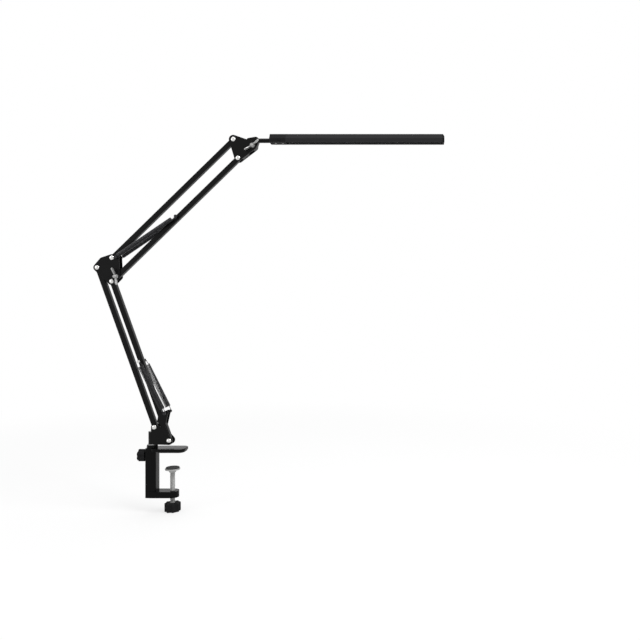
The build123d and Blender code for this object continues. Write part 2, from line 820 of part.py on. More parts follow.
# Elbow: a folded bracket with the lower arm's upper pivots and the upper arm's lower ones
elbow_corner = elbow_left + step(elbow_corner_length, elbow_corner_angle)
elbow_cheek = [
    (elbow_left, elbow_lobe),
    (elbow_corner, elbow_lobe),
    (elbow_top, elbow_lobe),
    (elbow_stud, elbow_stud_lobe),
    (elbow_bottom, elbow_lobe),
    (elbow_right, elbow_lobe),
]
with BuildPart() as elbow_bracket:
    cheek_pair(
        [elbow_cheek],
        [
            (elbow_left, pivot_hole),
            (elbow_right, pivot_hole),
            (elbow_top, pivot_hole),
            (elbow_bottom, bolt_hole),
            (elbow_stud, stud_hole),
        ],
    )
    folded_web(elbow_left, elbow_corner, 0, elbow_corner_length, elbow_lobe)
save(elbow_bracket, "elbow_bracket")

with BuildPart() as elbow_rivets:
    for pivot in (elbow_left, elbow_right, elbow_top):
        add(rivet(pivot))
save(elbow_rivets, "elbow_rivets")

with BuildPart() as elbow_washers:
    for pivot in (elbow_left, elbow_right, elbow_top):
        add(washer_pair(pivot, pivot_hole))
    add(washer_pair(elbow_bottom, bolt_hole))
save(elbow_washers, "elbow_washers")

elbow_spring_studs = spring_studs(elbow_stud, upper_stud_end)
save(elbow_spring_studs, "elbow_spring_studs")
elbow_bolt = clamp_bolt(elbow_bottom)
save(elbow_bolt, "elbow_bolt")
elbow_clamp_washer = clamp_washer(elbow_bottom)
save(elbow_clamp_washer, "elbow_clamp_washer")
elbow_wing_nut = wing_nut(elbow_bottom, elbow_wing_turn)
save(elbow_wing_nut, "elbow_wing_nut")

# Upper arm: two tubes that keep the head bracket upright, and the springs at its bottom tube
upper_top_tube = arm_tube(elbow_top, head_top, pivot_diameter, pivot_diameter)
save(upper_top_tube, "upper_top_tube")
upper_top_plugs = plug_pair(elbow_top, head_top, pivot_diameter, pivot_diameter)
save(upper_top_plugs, "upper_top_plugs")
upper_bottom_tube = arm_tube(elbow_bottom, head_bottom, bolt_diameter, pivot_diameter, upper_pin)
save(upper_bottom_tube, "upper_bottom_tube")
upper_bottom_plugs = plug_pair(elbow_bottom, head_bottom, bolt_diameter, pivot_diameter)
save(upper_bottom_plugs, "upper_bottom_plugs")

with BuildPart() as upper_spring_pin:
    add(headed_pin(upper_pin, -upper_stud_end, upper_stud_end, [-upper_stud_end, upper_stud_end]))
save(upper_spring_pin, "upper_spring_pin")

for side, y in (("front", -upper_spring_offset), ("rear", upper_spring_offset)):
    upper_spring, gap = spring_wire(elbow_stud, upper_pin, y, upper_coil_diameter, upper_wire)
    save(upper_spring, f"upper_spring_{side}")
    spring_gaps.append(gap)
print("least gap of each spring to itself:", [round(gap, 2) for gap in spring_gaps])

# Head bracket and the tilting neck that it clamps
head_cheek = [(head_top, head_top_lobe), (head_bottom, head_low_lobe), (tilt_pivot, tongue_lobe)]
head_edge_length = (tilt_pivot - head_bottom).length
with BuildPart() as head_bracket:
    cheek_pair(
        [head_cheek],
        [(head_top, pivot_hole), (head_bottom, pivot_hole), (tilt_pivot, bolt_hole)],
    )
    web_end = head_edge_length - 2 * tongue_lobe
    folded_web(head_bottom, tilt_pivot, web_clearance, web_end, -head_low_lobe)
save(head_bracket, "head_bracket")

with BuildPart() as head_rivets:
    for pivot in (head_top, head_bottom):
        add(rivet(pivot))
save(head_rivets, "head_rivets")

with BuildPart() as head_washers:
    for pivot in (head_top, head_bottom):
        add(washer_pair(pivot, pivot_hole))
    add(washer_pair(tilt_pivot, bolt_hole))
save(head_washers, "head_washers")

tilt_bolt = clamp_bolt(tilt_pivot)
save(tilt_bolt, "tilt_bolt")
tilt_clamp_washer = clamp_washer(tilt_pivot)
save(tilt_clamp_washer, "tilt_clamp_washer")
tilt_wing_nut = wing_nut(tilt_pivot, tilt_wing_turn)
save(tilt_wing_nut, "tilt_wing_nut")

tongue_rear = tilt_pivot + Vector(-tongue_rear_back, neck_height)
tongue_front = tilt_pivot + Vector(neck_front, neck_height)
stub_length = housing_end_wall + side_gap + retainer_thickness + side_gap + stub_end
with BuildPart() as neck:
    with BuildSketch(arm_plane(tube_size / 2)):
        hull_of([
            (tilt_pivot, tongue_lobe),
            (tongue_rear, tongue_rear_lobe),
            (tongue_front, tongue_front_lobe),
        ])
    extrude(amount=tube_size)
    across_cylinder(tilt_pivot, bolt_diameter / 2 + running_gap, -tube_size, tube_size, mode=Mode.SUBTRACT)
    with BuildSketch(Plane.YZ.offset(tongue_front.X)):
        with Locations((0, neck_z)):
            Circle(neck_diameter / 2)
    extrude(amount=neck_length - side_gap)
    with BuildSketch(Plane.YZ.offset(bar_left - side_gap)):
        with Locations((0, neck_z)):
            Circle(stub_diameter / 2)
    extrude(amount=stub_length)
save(neck, "neck")

retainer_left = bar_left + housing_end_wall + side_gap
with BuildPart() as neck_retainer:
    with BuildSketch(Plane.YZ.offset(retainer_left)):
        with Locations((0, neck_z)):
            Circle(retainer_diameter / 2)
            Circle(stub_diameter / 2 + seat_gap, mode=Mode.SUBTRACT)
    extrude(amount=retainer_thickness)
save(neck_retainer, "neck_retainer")

# Light bar: control housing at the left, extruded body, diffuser and end cap
ceiling = bar_top - housing_wall
button_x = bar_left + button_ahead
button_z = bar_low + button_height
boss_radius = cover_boss_diameter / 2
left_boss_x = bar_left + stub_length + boss_clearance + boss_radius
right_boss_x = bar_join - housing_wall - wire_way - boss_radius
cover_bosses = [(left_boss_x, 0), (right_boss_x, 0)]
cover_top = bar_low + cover_thickness
driver_left = bar_left + housing_end_wall + side_gap
driver_length = right_boss_x - boss_radius - boss_clearance - driver_left
driver_top = ceiling - driver_drop
driver_width = 2 * (half_inside(driver_top - bar_low, housing_wall) - driver_margin)
standoff_x = driver_left + driver_length * 0.75
standoffs = [(standoff_x, -driver_width / 4), (standoff_x, driver_width / 4)]
with BuildPart() as control_housing:
    with BuildSketch(section_plane(bar_left)):
        bar_outline()
    extrude(amount=housing_length)
    with BuildSketch(section_plane(bar_left + housing_end_wall)):
        bar_outline(housing_wall)
        with Locations((0, bar_low)):
            Rectangle(bar_width - 2 * housing_wall, 4 * housing_wall)
    extrude(amount=housing_length - housing_end_wall - housing_wall, mode=Mode.SUBTRACT)
    with BuildSketch(Plane.XY.offset(cover_top)):
        with Locations(*cover_bosses):
            Circle(cover_boss_diameter / 2)
    extrude(amount=ceiling - cover_top)
    with BuildSketch(Plane.XY.offset(driver_top)):
        with Locations(*standoffs):
            Circle(standoff_diameter / 2)
    extrude(amount=driver_drop)
    with BuildSketch(Plane.XY.offset(cover_top)):
        with Locations(*cover_bosses):
            Circle(cover_screw_diameter / 2 + seat_gap)
    extrude(amount=port_screw_length, mode=Mode.SUBTRACT)
    with BuildSketch(section_plane(bar_left)):
        with Locations((0, neck_z)):
            Circle(stub_diameter / 2 + running_gap)
    extrude(amount=housing_end_wall, mode=Mode.SUBTRACT)
    with BuildSketch(section_plane(bar_join - housing_wall)):
        with Locations(*ports):
            Circle(port_bore / 2)
        with Locations((0, port_z)):
            Circle(wire_hole / 2)
    extrude(amount=housing_wall, mode=Mode.SUBTRACT)
    with BuildSketch(arm_plane(-bar_width / 2)):
        with Locations((button_x, button_z)):
            Circle(button_diameter / 2 + side_gap)
    extrude(amount=-2 * housing_wall, mode=Mode.SUBTRACT)
    with BuildSketch(arm_plane(bar_width / 2)):
        with Locations((button_x, button_z)):
            Circle(inlet_diameter / 2 + seat_gap)
    extrude(amount=2 * housing_wall, mode=Mode.SUBTRACT)
save(control_housing, "control_housing")

cover_left = bar_left + housing_end_wall + seat_gap
cover_length = housing_length - housing_end_wall - housing_wall - 2 * seat_gap
with BuildPart() as control_cover:
    with BuildSketch(Plane.XY.offset(bar_low)):
        with Locations((cover_left + cover_length / 2, 0)):
            Rectangle(cover_length, bar_width - 2 * housing_wall - 2 * seat_gap)
        with Locations(*cover_bosses):
            Circle(cover_screw_diameter / 2 + seat_gap, mode=Mode.SUBTRACT)
    extrude(amount=cover_thickness)
    with BuildSketch(Plane.XY.offset(bar_low)):
        with Locations(*cover_bosses):
            Circle(cover_screw_head / 2 + seat_gap)
    extrude(amount=cover_thickness / 2, mode=Mode.SUBTRACT)
save(control_cover, "control_cover")

with BuildPart() as cover_screws:
    with BuildSketch(Plane.XY.offset(bar_low)):
        with Locations(*cover_bosses):
            Circle(cover_screw_head / 2)
    extrude(amount=cover_thickness / 2)
    with BuildSketch(Plane.XY.offset(bar_low)):
        with Locations(*cover_bosses):
            Circle(cover_screw_diameter / 2)
    extrude(amount=port_screw_length)
save(cover_screws, "cover_screws")

button_inner = -bar_width / 2 + housing_wall + side_gap
button_end = button_inner + button_flange_thickness + button_stem
switch_front = button_end + button_travel
with BuildPart() as driver_board:
    with BuildSketch(Plane.XY.offset(driver_top - driver_thickness)):
        with Locations((driver_left + driver_length / 2, 0)):
            Rectangle(driver_length, driver_width)
        with Locations(cover_bosses[0]):
            Circle(boss_radius + boss_clearance, mode=Mode.SUBTRACT)
    extrude(amount=driver_thickness)
    with BuildSketch(Plane.XY.offset(driver_top - driver_thickness)):
        with Locations((button_x, switch_front + switch_size / 4)):
            Rectangle(switch_size, switch_size / 2)
    extrude(amount=-switch_height)
save(driver_board, "driver_board")

button_axis = Vector(button_x, button_z)
flange_end = button_inner + button_flange_thickness
with BuildPart() as power_button:
    across_cylinder(button_axis, button_diameter / 2, -bar_width / 2 - button_proud, button_end)
    across_cylinder(button_axis, button_flange / 2, button_inner, flange_end)
save(power_button, "power_button")

inlet_seat = bar_width / 2
inlet_mouth = inlet_seat + inlet_flange_thickness
inlet_floor = inlet_seat - inlet_depth
with BuildPart() as power_inlet:
    across_cylinder(button_axis, inlet_diameter / 2, inlet_floor - housing_wall, inlet_seat)
    across_cylinder(button_axis, inlet_flange_diameter / 2, inlet_seat, inlet_mouth)
    across_cylinder(button_axis, inlet_bore / 2, inlet_floor, inlet_mouth, mode=Mode.SUBTRACT)
save(power_inlet, "power_inlet")

diffuser_low = bar_low + diffuser_recess
groove_top = diffuser_low + diffuser_thickness + 2 * seat_gap
inner_half = bar_width / 2 - bar_wall
groove_half = inner_half + groove_depth
with BuildPart() as bar_body:
    with BuildSketch(section_plane(bar_join)):
        bar_outline()
        Polygon(
            (-inner_half, groove_top),
            (inner_half, groove_top),
            (inner_half, bar_low + bar_shoulder),
            (bar_top_width / 2 - bar_wall, bar_top - bar_wall),
            (-bar_top_width / 2 + bar_wall, bar_top - bar_wall),
            (-inner_half, bar_low + bar_shoulder),
            align=None,
            mode=Mode.SUBTRACT,
        )
        with Locations((0, (diffuser_low + groove_top) / 2)):
            Rectangle(2 * groove_half, groove_top - diffuser_low, mode=Mode.SUBTRACT)
        with Locations((0, bar_low + diffuser_recess / 2)):
            Rectangle(2 * (inner_half - diffuser_lip), diffuser_recess, mode=Mode.SUBTRACT)
        with Locations(*ports):
            Circle(port_diameter / 2)
            Circle(port_bore / 2, mode=Mode.SUBTRACT)
    extrude(amount=bar_length)
save(bar_body, "bar_body")

with BuildPart() as diffuser:
    with BuildSketch(section_plane(bar_join)):
        with Locations((0, diffuser_low + seat_gap + diffuser_thickness / 2)):
            Rectangle(2 * (groove_half - seat_gap), diffuser_thickness)
    extrude(amount=bar_length)
save(diffuser, "diffuser")

board_top = bar_top - bar_wall
board_low = board_top - led_board_thickness
board_length = bar_length - 2 * led_board_margin
led_board_width = 2 * (half_inside(board_top - bar_low, bar_wall) - led_board_side)
with BuildPart() as led_board:
    with BuildSketch(Plane.XY.offset(board_low)):
        with Locations((bar_join + bar_length / 2, 0)):
            Rectangle(board_length, led_board_width)
    extrude(amount=led_board_thickness)
save(led_board, "led_board")

with BuildPart() as led_chips:
    with BuildSketch(Plane.XY.offset(board_low)):
        with Locations((bar_join + bar_length / 2, 0)):
            with GridLocations(board_length / led_count, led_board_width / 2, led_count, 1):
                Rectangle(led_length, led_width)
    extrude(amount=-led_height)
save(led_chips, "led_chips")

with BuildPart() as end_cap:
    with BuildSketch(section_plane(bar_right)):
        bar_outline()
    extrude(amount=end_cap_thickness)
    cap_end = bar_right + end_cap_thickness
    with BuildSketch(arm_plane(bar_width)):
        with BuildLine():
            Polyline(
                (cap_end, bar_top - end_cap_slope_height),
                (cap_end, bar_top),
                (cap_end - end_cap_slope_depth, bar_top),
                close=True,
            )
        make_face()
    extrude(amount=2 * bar_width, mode=Mode.SUBTRACT)
    with Locations(*[Plane(origin=(cap_end, y, z), x_dir=(0, 1, 0), z_dir=(1, 0, 0)) for y, z in ports]):
        CounterSinkHole(port_bore / 2, port_screw_head / 2)
save(end_cap, "end_cap")


def port_screws(seat_x, way, head_diameter, countersunk):
    """Two screws along X into the bar's screw ports; way is +1 or -1 along X."""
    shank = port_bore / 2 - seat_gap
    head = head_diameter / 2 - seat_gap
    with BuildPart() as piece:
        for y, z in ports:
            axis_plane = Plane(origin=(seat_x, y, z), x_dir=(way, 0, 0), z_dir=(0, -way, 0))
            with BuildSketch(axis_plane):
                with BuildLine():
                    if countersunk:
                        Polyline(
                            (0, 0), (0, head), (head - shank, shank), (port_screw_length, shank),
                            (port_screw_length, 0), close=True)
                    else:
                        Polyline(
                            (-head / 2, 0), (-head / 2, head), (0, head), (0, shank),
                            (port_screw_length, shank), (port_screw_length, 0), close=True)
                make_face()
            revolve(axis=Axis((seat_x, y, z), (1, 0, 0)))
    return piece


end_cap_screws = port_screws(bar_right + end_cap_thickness, -1, port_screw_head, True)
save(end_cap_screws, "end_cap_screws")
housing_screws = port_screws(bar_join - housing_wall, 1, housing_screw_head, False)
save(housing_screws, "housing_screws")
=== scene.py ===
"""Dresses a spring-balanced swing-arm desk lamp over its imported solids.

Metres. +Z is up, the arm swings in the XZ plane, and the wing nuts face -Y.
"""

import json
import math

import bmesh
import bpy
from bpy.props import FloatProperty, FloatVectorProperty, IntProperty, PointerProperty
from mathutils import Matrix, Vector

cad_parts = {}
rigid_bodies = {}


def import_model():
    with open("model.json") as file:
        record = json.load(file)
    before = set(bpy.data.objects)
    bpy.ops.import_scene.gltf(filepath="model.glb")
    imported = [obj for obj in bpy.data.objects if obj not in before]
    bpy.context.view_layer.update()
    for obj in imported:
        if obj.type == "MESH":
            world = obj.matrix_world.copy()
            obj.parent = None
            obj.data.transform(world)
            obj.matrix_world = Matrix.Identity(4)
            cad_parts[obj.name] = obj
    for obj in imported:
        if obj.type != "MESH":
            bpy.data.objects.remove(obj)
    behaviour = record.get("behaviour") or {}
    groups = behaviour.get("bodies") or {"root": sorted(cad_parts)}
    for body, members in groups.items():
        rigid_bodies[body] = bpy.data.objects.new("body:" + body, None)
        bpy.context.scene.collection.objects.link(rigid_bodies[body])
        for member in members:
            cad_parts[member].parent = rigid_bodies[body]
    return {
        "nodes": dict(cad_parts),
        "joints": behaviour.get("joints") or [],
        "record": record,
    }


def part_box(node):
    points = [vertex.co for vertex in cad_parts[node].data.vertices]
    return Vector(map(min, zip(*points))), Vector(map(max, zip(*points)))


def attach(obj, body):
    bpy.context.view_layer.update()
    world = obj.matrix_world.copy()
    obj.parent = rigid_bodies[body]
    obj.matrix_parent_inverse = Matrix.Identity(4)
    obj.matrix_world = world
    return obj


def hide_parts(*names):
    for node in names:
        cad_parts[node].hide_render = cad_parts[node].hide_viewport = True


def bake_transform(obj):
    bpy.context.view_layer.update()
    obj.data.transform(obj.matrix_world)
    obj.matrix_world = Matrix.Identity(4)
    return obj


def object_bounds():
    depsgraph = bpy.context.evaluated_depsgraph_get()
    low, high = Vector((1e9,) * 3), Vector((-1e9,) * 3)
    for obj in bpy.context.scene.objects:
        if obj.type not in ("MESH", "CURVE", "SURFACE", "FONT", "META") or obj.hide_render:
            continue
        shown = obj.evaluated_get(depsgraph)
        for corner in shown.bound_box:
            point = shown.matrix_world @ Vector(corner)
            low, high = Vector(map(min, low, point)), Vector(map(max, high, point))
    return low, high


bl_info = {
    "name": "Swing-arm desk lamp",
    "version": (1, 0, 0),
    "blender": (4, 5, 0),
    "location": "3D View > Sidebar > Desk lamp",
    "description": "Finishes and fine detail for a spring-balanced desk lamp with a light bar",
    "category": "Object",
}

for leftover in list(bpy.data.objects):
    bpy.data.objects.remove(leftover)

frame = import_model()
nodes = frame["nodes"]
cad_low, cad_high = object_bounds()
slot_of_node = {part["node"]: part["material_slot"] for part in frame["record"]["subparts"]}
pivot_of_joint = {
    joint["name"]: Vector(joint["pos_m"]) for joint in frame["joints"] if joint["type"] == "hinge"
}


class LampFinishes(bpy.types.PropertyGroup):
    """Colours of the lamp's finishes."""

    paint: FloatVectorProperty(
        name="Powder coat", description="Colour of the brackets, tubes and neck",
        default=(0.0024, 0.0024, 0.0025), subtype="COLOR")
    casting: FloatVectorProperty(
        name="Casting", description="Colour of the coated clamp casting",
        default=(0.0017, 0.0017, 0.0018), subtype="COLOR")
    plastic: FloatVectorProperty(
        name="Black plastic",
        description="Colour of the knobs, the control housing with its fittings, and the end cap",
        default=(0.0145, 0.0145, 0.015), subtype="COLOR")
    anodised: FloatVectorProperty(
        name="Anodised aluminium", description="Colour of the light bar's extruded body",
        default=(0.024, 0.024, 0.025), subtype="COLOR")
    nickel: FloatVectorProperty(
        name="Nickel plate", description="Colour of the rivets, the base screw and the lower cross pin",
        default=(0.68, 0.675, 0.66), subtype="COLOR")
    zinc: FloatVectorProperty(
        name="Zinc plate", description="Colour of the wing nuts, bolts, screws and spindle",
        default=(0.37, 0.37, 0.365), subtype="COLOR")
    wire: FloatVectorProperty(
        name="Spring wire", description="Colour of the oiled balance springs",
        default=(0.036, 0.036, 0.038), subtype="COLOR")
    oxide: FloatVectorProperty(
        name="Black oxide", description="Colour of the spring studs, upper cross pin and clamp washers",
        default=(0.035, 0.035, 0.037), subtype="COLOR")
    opal: FloatVectorProperty(
        name="Opal", description="Colour of the diffuser under the light bar",
        default=(0.84, 0.84, 0.82), subtype="COLOR")


class LampSizes(bpy.types.PropertyGroup):
    """Sizes of the fine detail."""

    lower_turns: IntProperty(
        name="Lower turns", description="Turns of each lower balance spring",
        default=62)
    lower_coil: FloatProperty(
        name="Lower coil radius",
        description="From the axis of a lower spring to the middle of its wire",
        default=0.0052, subtype="DISTANCE")
    lower_wire: FloatProperty(
        name="Lower wire", description="Wire diameter of the lower springs",
        default=0.0012, subtype="DISTANCE")
    upper_turns: IntProperty(
        name="Upper turns", description="Turns of each upper balance spring",
        default=110)
    upper_coil: FloatProperty(
        name="Upper coil radius",
        description="From the axis of an upper spring to the middle of its wire",
        default=0.00365, subtype="DISTANCE")
    upper_wire: FloatProperty(
        name="Upper wire", description="Wire diameter of the upper springs",
        default=0.0012, subtype="DISTANCE")
    lower_offset: FloatProperty(
        name="Lower spring offset", description="From the arm plane to the middle of each lower spring",
        default=0.0165, subtype="DISTANCE")
    upper_offset: FloatProperty(
        name="Upper spring offset", description="From the arm plane to the middle of each upper spring",
        default=0.0124, subtype="DISTANCE")
    lower_leg: FloatProperty(
        name="Lower leg", description="Straight wire from a lower spring's stud to its coil",
        default=0.0075, subtype="DISTANCE")
    upper_leg: FloatProperty(
        name="Upper leg", description="Straight wire from an upper spring's stud to its coil",
        default=0.0024, subtype="DISTANCE")
    pin_leg: FloatProperty(
        name="Pin leg", description="Straight wire from a spring's coil to its cross pin",
        default=0.0075, subtype="DISTANCE")
    spring_lead: FloatProperty(
        name="Spring lead", description="Length over which the wire runs from a leg into the coil",
        default=0.003, subtype="DISTANCE")
    hook_play: FloatProperty(
        name="Hook play", description="Gap between a spring's hook and its stud",
        default=0.00015, subtype="DISTANCE")
    stud_radius: FloatProperty(
        name="Stud radius", description="Radius of the studs and pins that hold the springs",
        default=0.002, subtype="DISTANCE")
    cheek_half: FloatProperty(
        name="Cheek half width", description="From the arm plane to the outside of a bracket's cheek",
        default=0.00775, subtype="DISTANCE")
    rivet_head: FloatProperty(
        name="Rivet head", description="Diameter of a rivet's domed head",
        default=0.0094, subtype="DISTANCE")
    wing_thickness: FloatProperty(
        name="Wing thickness", description="Thickness of a wing nut's wings",
        default=0.0019, subtype="DISTANCE")
    wing_reach: FloatProperty(
        name="Wing reach", description="From the axis of a wing nut to the tip of a wing",
        default=0.0176, subtype="DISTANCE")
    elbow_wing_turn: FloatProperty(
        name="Elbow wings", description="Angle of the elbow nut's wings above +X",
        default=math.radians(105.5), subtype="ANGLE")
    tilt_wing_turn: FloatProperty(
        name="Tilt wings", description="Angle of the tilt nut's wings above +X",
        default=math.radians(36.0), subtype="ANGLE")


class LampStage(bpy.types.PropertyGroup):
    """Light, floor and camera."""

    floor: FloatVectorProperty(
        name="Floor", description="Colour of the floor",
        default=(0.82, 0.82, 0.82), subtype="COLOR")
    ambient: FloatProperty(
        name="Ambient light", description="Strength of the even light from all round",
        default=0.45)
    key_power: FloatProperty(
        name="Key light", description="Power of the large light above and to the right",
        default=46.0, unit="POWER")
    fill_power: FloatProperty(
        name="Fill light", description="Power of the soft light from the left",
        default=10.0, unit="POWER")
    lens: FloatProperty(
        name="Lens", description="Focal length on a 36 mm sensor, in millimetres",
        default=36.9)


# Node trees

def put(tree, kind, feeds=None, **settings):
    """Adds a node, sets its properties, and feeds its inputs from values or sockets."""
    node = tree.nodes.new(kind)
    for key, value in settings.items():
        setattr(node, key, value)
    for key, value in (feeds or {}).items():
        socket = node.inputs[key]
        if isinstance(value, bpy.types.NodeSocket):
            tree.links.new(value, socket)
        else:
            socket.default_value = value
    return node


def made(tree, kind, feeds=None, **settings):
    """The first result of a new node."""
    return put(tree, kind, feeds, **settings).outputs[0]


def reckon(tree, operation, first, second=0.0, third=0.0):
    """One sum of numbers or sockets."""
    return made(tree, "ShaderNodeMath", {0: first, 1: second, 2: third}, operation=operation)


def portion(tree, value, part):
    """A share of a number or socket."""
    return reckon(tree, "MULTIPLY", value, part)


def object_place(tree, stretch=(1.0, 1.0, 1.0)):
    """Object coordinates, stretched along each axis."""
    place = put(tree, "ShaderNodeTexCoord").outputs["Object"]
    return made(tree, "ShaderNodeMapping", {"Vector": place, "Scale": stretch})


def grain(tree, place, scale, detail=2.0, roughness=0.5):
    """Noise of a given fineness, in repeats per metre."""
    feeds = {"Vector": place, "Scale": scale, "Detail": detail, "Roughness": roughness}
    return put(tree, "ShaderNodeTexNoise", feeds).outputs["Fac"]


def spread(tree, value, low, high):
    """The middle of a grain value's range spread over another range."""
    feeds = {"Value": value, "From Min": 0.3, "From Max": 0.7, "To Min": low, "To Max": high}
    return put(tree, "ShaderNodeMapRange", feeds).outputs["Result"]


def shade(colour, amount):
    """A colour made lighter or darker."""
    return tuple(min(1.0, channel * amount) for channel in colour)


def tint(tree, factor, colour, low, high):
    """A colour made darker or lighter by a factor, between two amounts."""
    node = put(tree, "ShaderNodeMix", data_type="RGBA")
    tree.links.new(factor, node.inputs["Factor"])
    node.inputs[6].default_value = (*shade(colour, low), 1.0)
    node.inputs[7].default_value = (*shade(colour, high), 1.0)
    return node.outputs[2]


def relief(tree, height, strength, distance):
    """Bump from a height value."""
    feeds = {"Height": height, "Strength": strength, "Distance": distance}
    return put(tree, "ShaderNodeBump", feeds).outputs["Normal"]


def blank_finish(name):
    """A new material and its shader."""
    material = bpy.data.materials.new(name)
    material.use_nodes = True
    return material, material.node_tree, material.node_tree.nodes["Principled BSDF"]


def feed_shader(tree, shader, colour, roughness, normal, levels=None):
    """Links the three sockets that every finish varies, and sets the levels that it keeps."""
    tree.links.new(colour, shader.inputs["Base Color"])
    tree.links.new(roughness, shader.inputs["Roughness"])
    tree.links.new(normal, shader.inputs["Normal"])
    for key, level in (levels or {}).items():
        shader.inputs[key].default_value = level


# Finishes

def powder_coat(name, colour, roughness, peel, depth, gloss):
    """Coated metal: a fine orange-peel skin with slow changes of tone and gloss."""
    material, tree, shader = blank_finish(name)
    place = object_place(tree)
    patches = grain(tree, place, scale=45.0, detail=3.0)
    skin = grain(tree, place, scale=peel, roughness=0.45)
    specks = grain(tree, place, scale=peel * 3.2, detail=1.0)
    speck_share = 0.25
    height = reckon(tree, "MULTIPLY_ADD", specks, speck_share, skin)
    feed_shader(
        tree, shader,
        tint(tree, patches, colour, low=0.82, high=1.2),
        spread(tree, patches, low=roughness - 0.05, high=roughness + 0.06),
        relief(tree, height, strength=0.55, distance=depth),
        levels={"Specular IOR Level": gloss})
    return material


def moulded_plastic(name, colour, roughness, texture, depth):
    """Moulded plastic with a fine spark-eroded texture."""
    material, tree, shader = blank_finish(name)
    place = object_place(tree)
    cells = put(tree, "ShaderNodeTexVoronoi", {"Vector": place, "Scale": texture})
    flow = grain(tree, place, scale=70.0, detail=4.0)
    feed_shader(
        tree, shader,
        tint(tree, flow, colour, low=0.85, high=1.18),
        spread(tree, flow, low=roughness - 0.04, high=roughness + 0.06),
        relief(tree, cells.outputs["Distance"], strength=0.5, distance=depth),
        levels={"Specular IOR Level": 0.01})
    return material


def plated_metal(name, colour, roughness, spangle, depth, metallic=1.0):
    """Plated steel: small grains of tone and gloss, with faint handling marks."""
    material, tree, shader = blank_finish(name)
    place = object_place(tree)
    grains = put(tree, "ShaderNodeTexVoronoi", {"Vector": place, "Scale": spangle})
    grain_tone = made(tree, "ShaderNodeSeparateColor", {"Color": grains.outputs["Color"]})
    marks = grain(tree, object_place(tree, (1.0, 0.15, 1.0)), scale=900.0, detail=4.0, roughness=0.6)
    feed_shader(
        tree, shader,
        tint(tree, grain_tone, colour, low=0.92, high=1.05),
        spread(tree, marks, low=roughness - 0.06, high=roughness + 0.08),
        relief(tree, marks, strength=0.3, distance=depth),
        levels={"Metallic": metallic})
    return material


def spring_wire_finish(name, colour):
    """Dark oiled spring wire, with slow patches and fine drawing streaks."""
    material, tree, shader = blank_finish(name)
    place = object_place(tree)
    patches = grain(tree, place, scale=160.0, detail=3.0)
    streaks = grain(tree, place, scale=2600.0)
    feed_shader(
        tree, shader,
        tint(tree, patches, colour, low=0.75, high=1.25),
        spread(tree, streaks, low=0.34, high=0.5),
        relief(tree, streaks, strength=0.2, distance=0.00002),
        levels={"Metallic": 1.0, "Coat Weight": 0.12, "Coat Roughness": 0.3})
    return material


def anodised_extrusion(name, colour):
    """Black anodised aluminium with fine drawing lines along the bar."""
    material, tree, shader = blank_finish(name)
    lines = grain(tree, object_place(tree, (3.0, 900.0, 900.0)), scale=1.0, detail=3.0, roughness=0.6)
    patches = grain(tree, object_place(tree, (8.0, 40.0, 40.0)), scale=1.0, detail=3.0)
    feed_shader(
        tree, shader,
        tint(tree, lines, colour, low=0.8, high=1.25),
        spread(tree, patches, low=0.34, high=0.46),
        relief(tree, lines, strength=0.15, distance=0.00002),
        levels={"Specular IOR Level": 0.006})
    return material


def rubber_finish(name, colour):
    """Matt rubber with a pebbled skin and patches of pale dust."""
    material, tree, shader = blank_finish(name)
    place = object_place(tree)
    pebbles = grain(tree, place, scale=1400.0, detail=3.0, roughness=0.6)
    dust = grain(tree, place, scale=120.0, detail=4.0)
    feed_shader(
        tree, shader,
        tint(tree, dust, colour, low=1.0, high=1.7),
        spread(tree, pebbles, low=0.7, high=0.9),
        relief(tree, pebbles, strength=0.6, distance=0.00008),
        levels={"Specular IOR Level": 0.3})
    return material


def opal_finish(name, colour):
    """Opal sheet: smooth and milky, with a faint extrusion grain along the bar."""
    material, tree, shader = blank_finish(name)
    lines = grain(tree, object_place(tree, (4.0, 500.0, 60.0)), scale=1.0)
    feed_shader(
        tree, shader,
        tint(tree, lines, colour, low=0.97, high=1.02),
        spread(tree, lines, low=0.3, high=0.38),
        relief(tree, lines, strength=0.1, distance=0.00002),
        levels={"Subsurface Weight": 0.25, "Subsurface Radius": (0.002, 0.002, 0.0018)})
    return material


def circuit_board(name, colour, track):
    """Solder mask with printed tracks just under it."""
    material, tree, shader = blank_finish(name)
    place = object_place(tree)
    bricks = put(tree, "ShaderNodeTexBrick", {"Vector": place, "Scale": 90.0, "Mortar Size": 0.08})
    bricks.inputs["Color1"].default_value = (*colour, 1.0)
    bricks.inputs["Color2"].default_value = (*shade(colour, 1.15), 1.0)
    bricks.inputs["Mortar"].default_value = (*track, 1.0)
    mask = grain(tree, place, scale=800.0)
    feed_shader(
        tree, shader,
        bricks.outputs["Color"],
        spread(tree, mask, low=0.3, high=0.42),
        relief(tree, bricks.outputs["Fac"], strength=0.3, distance=0.00004))
    return material


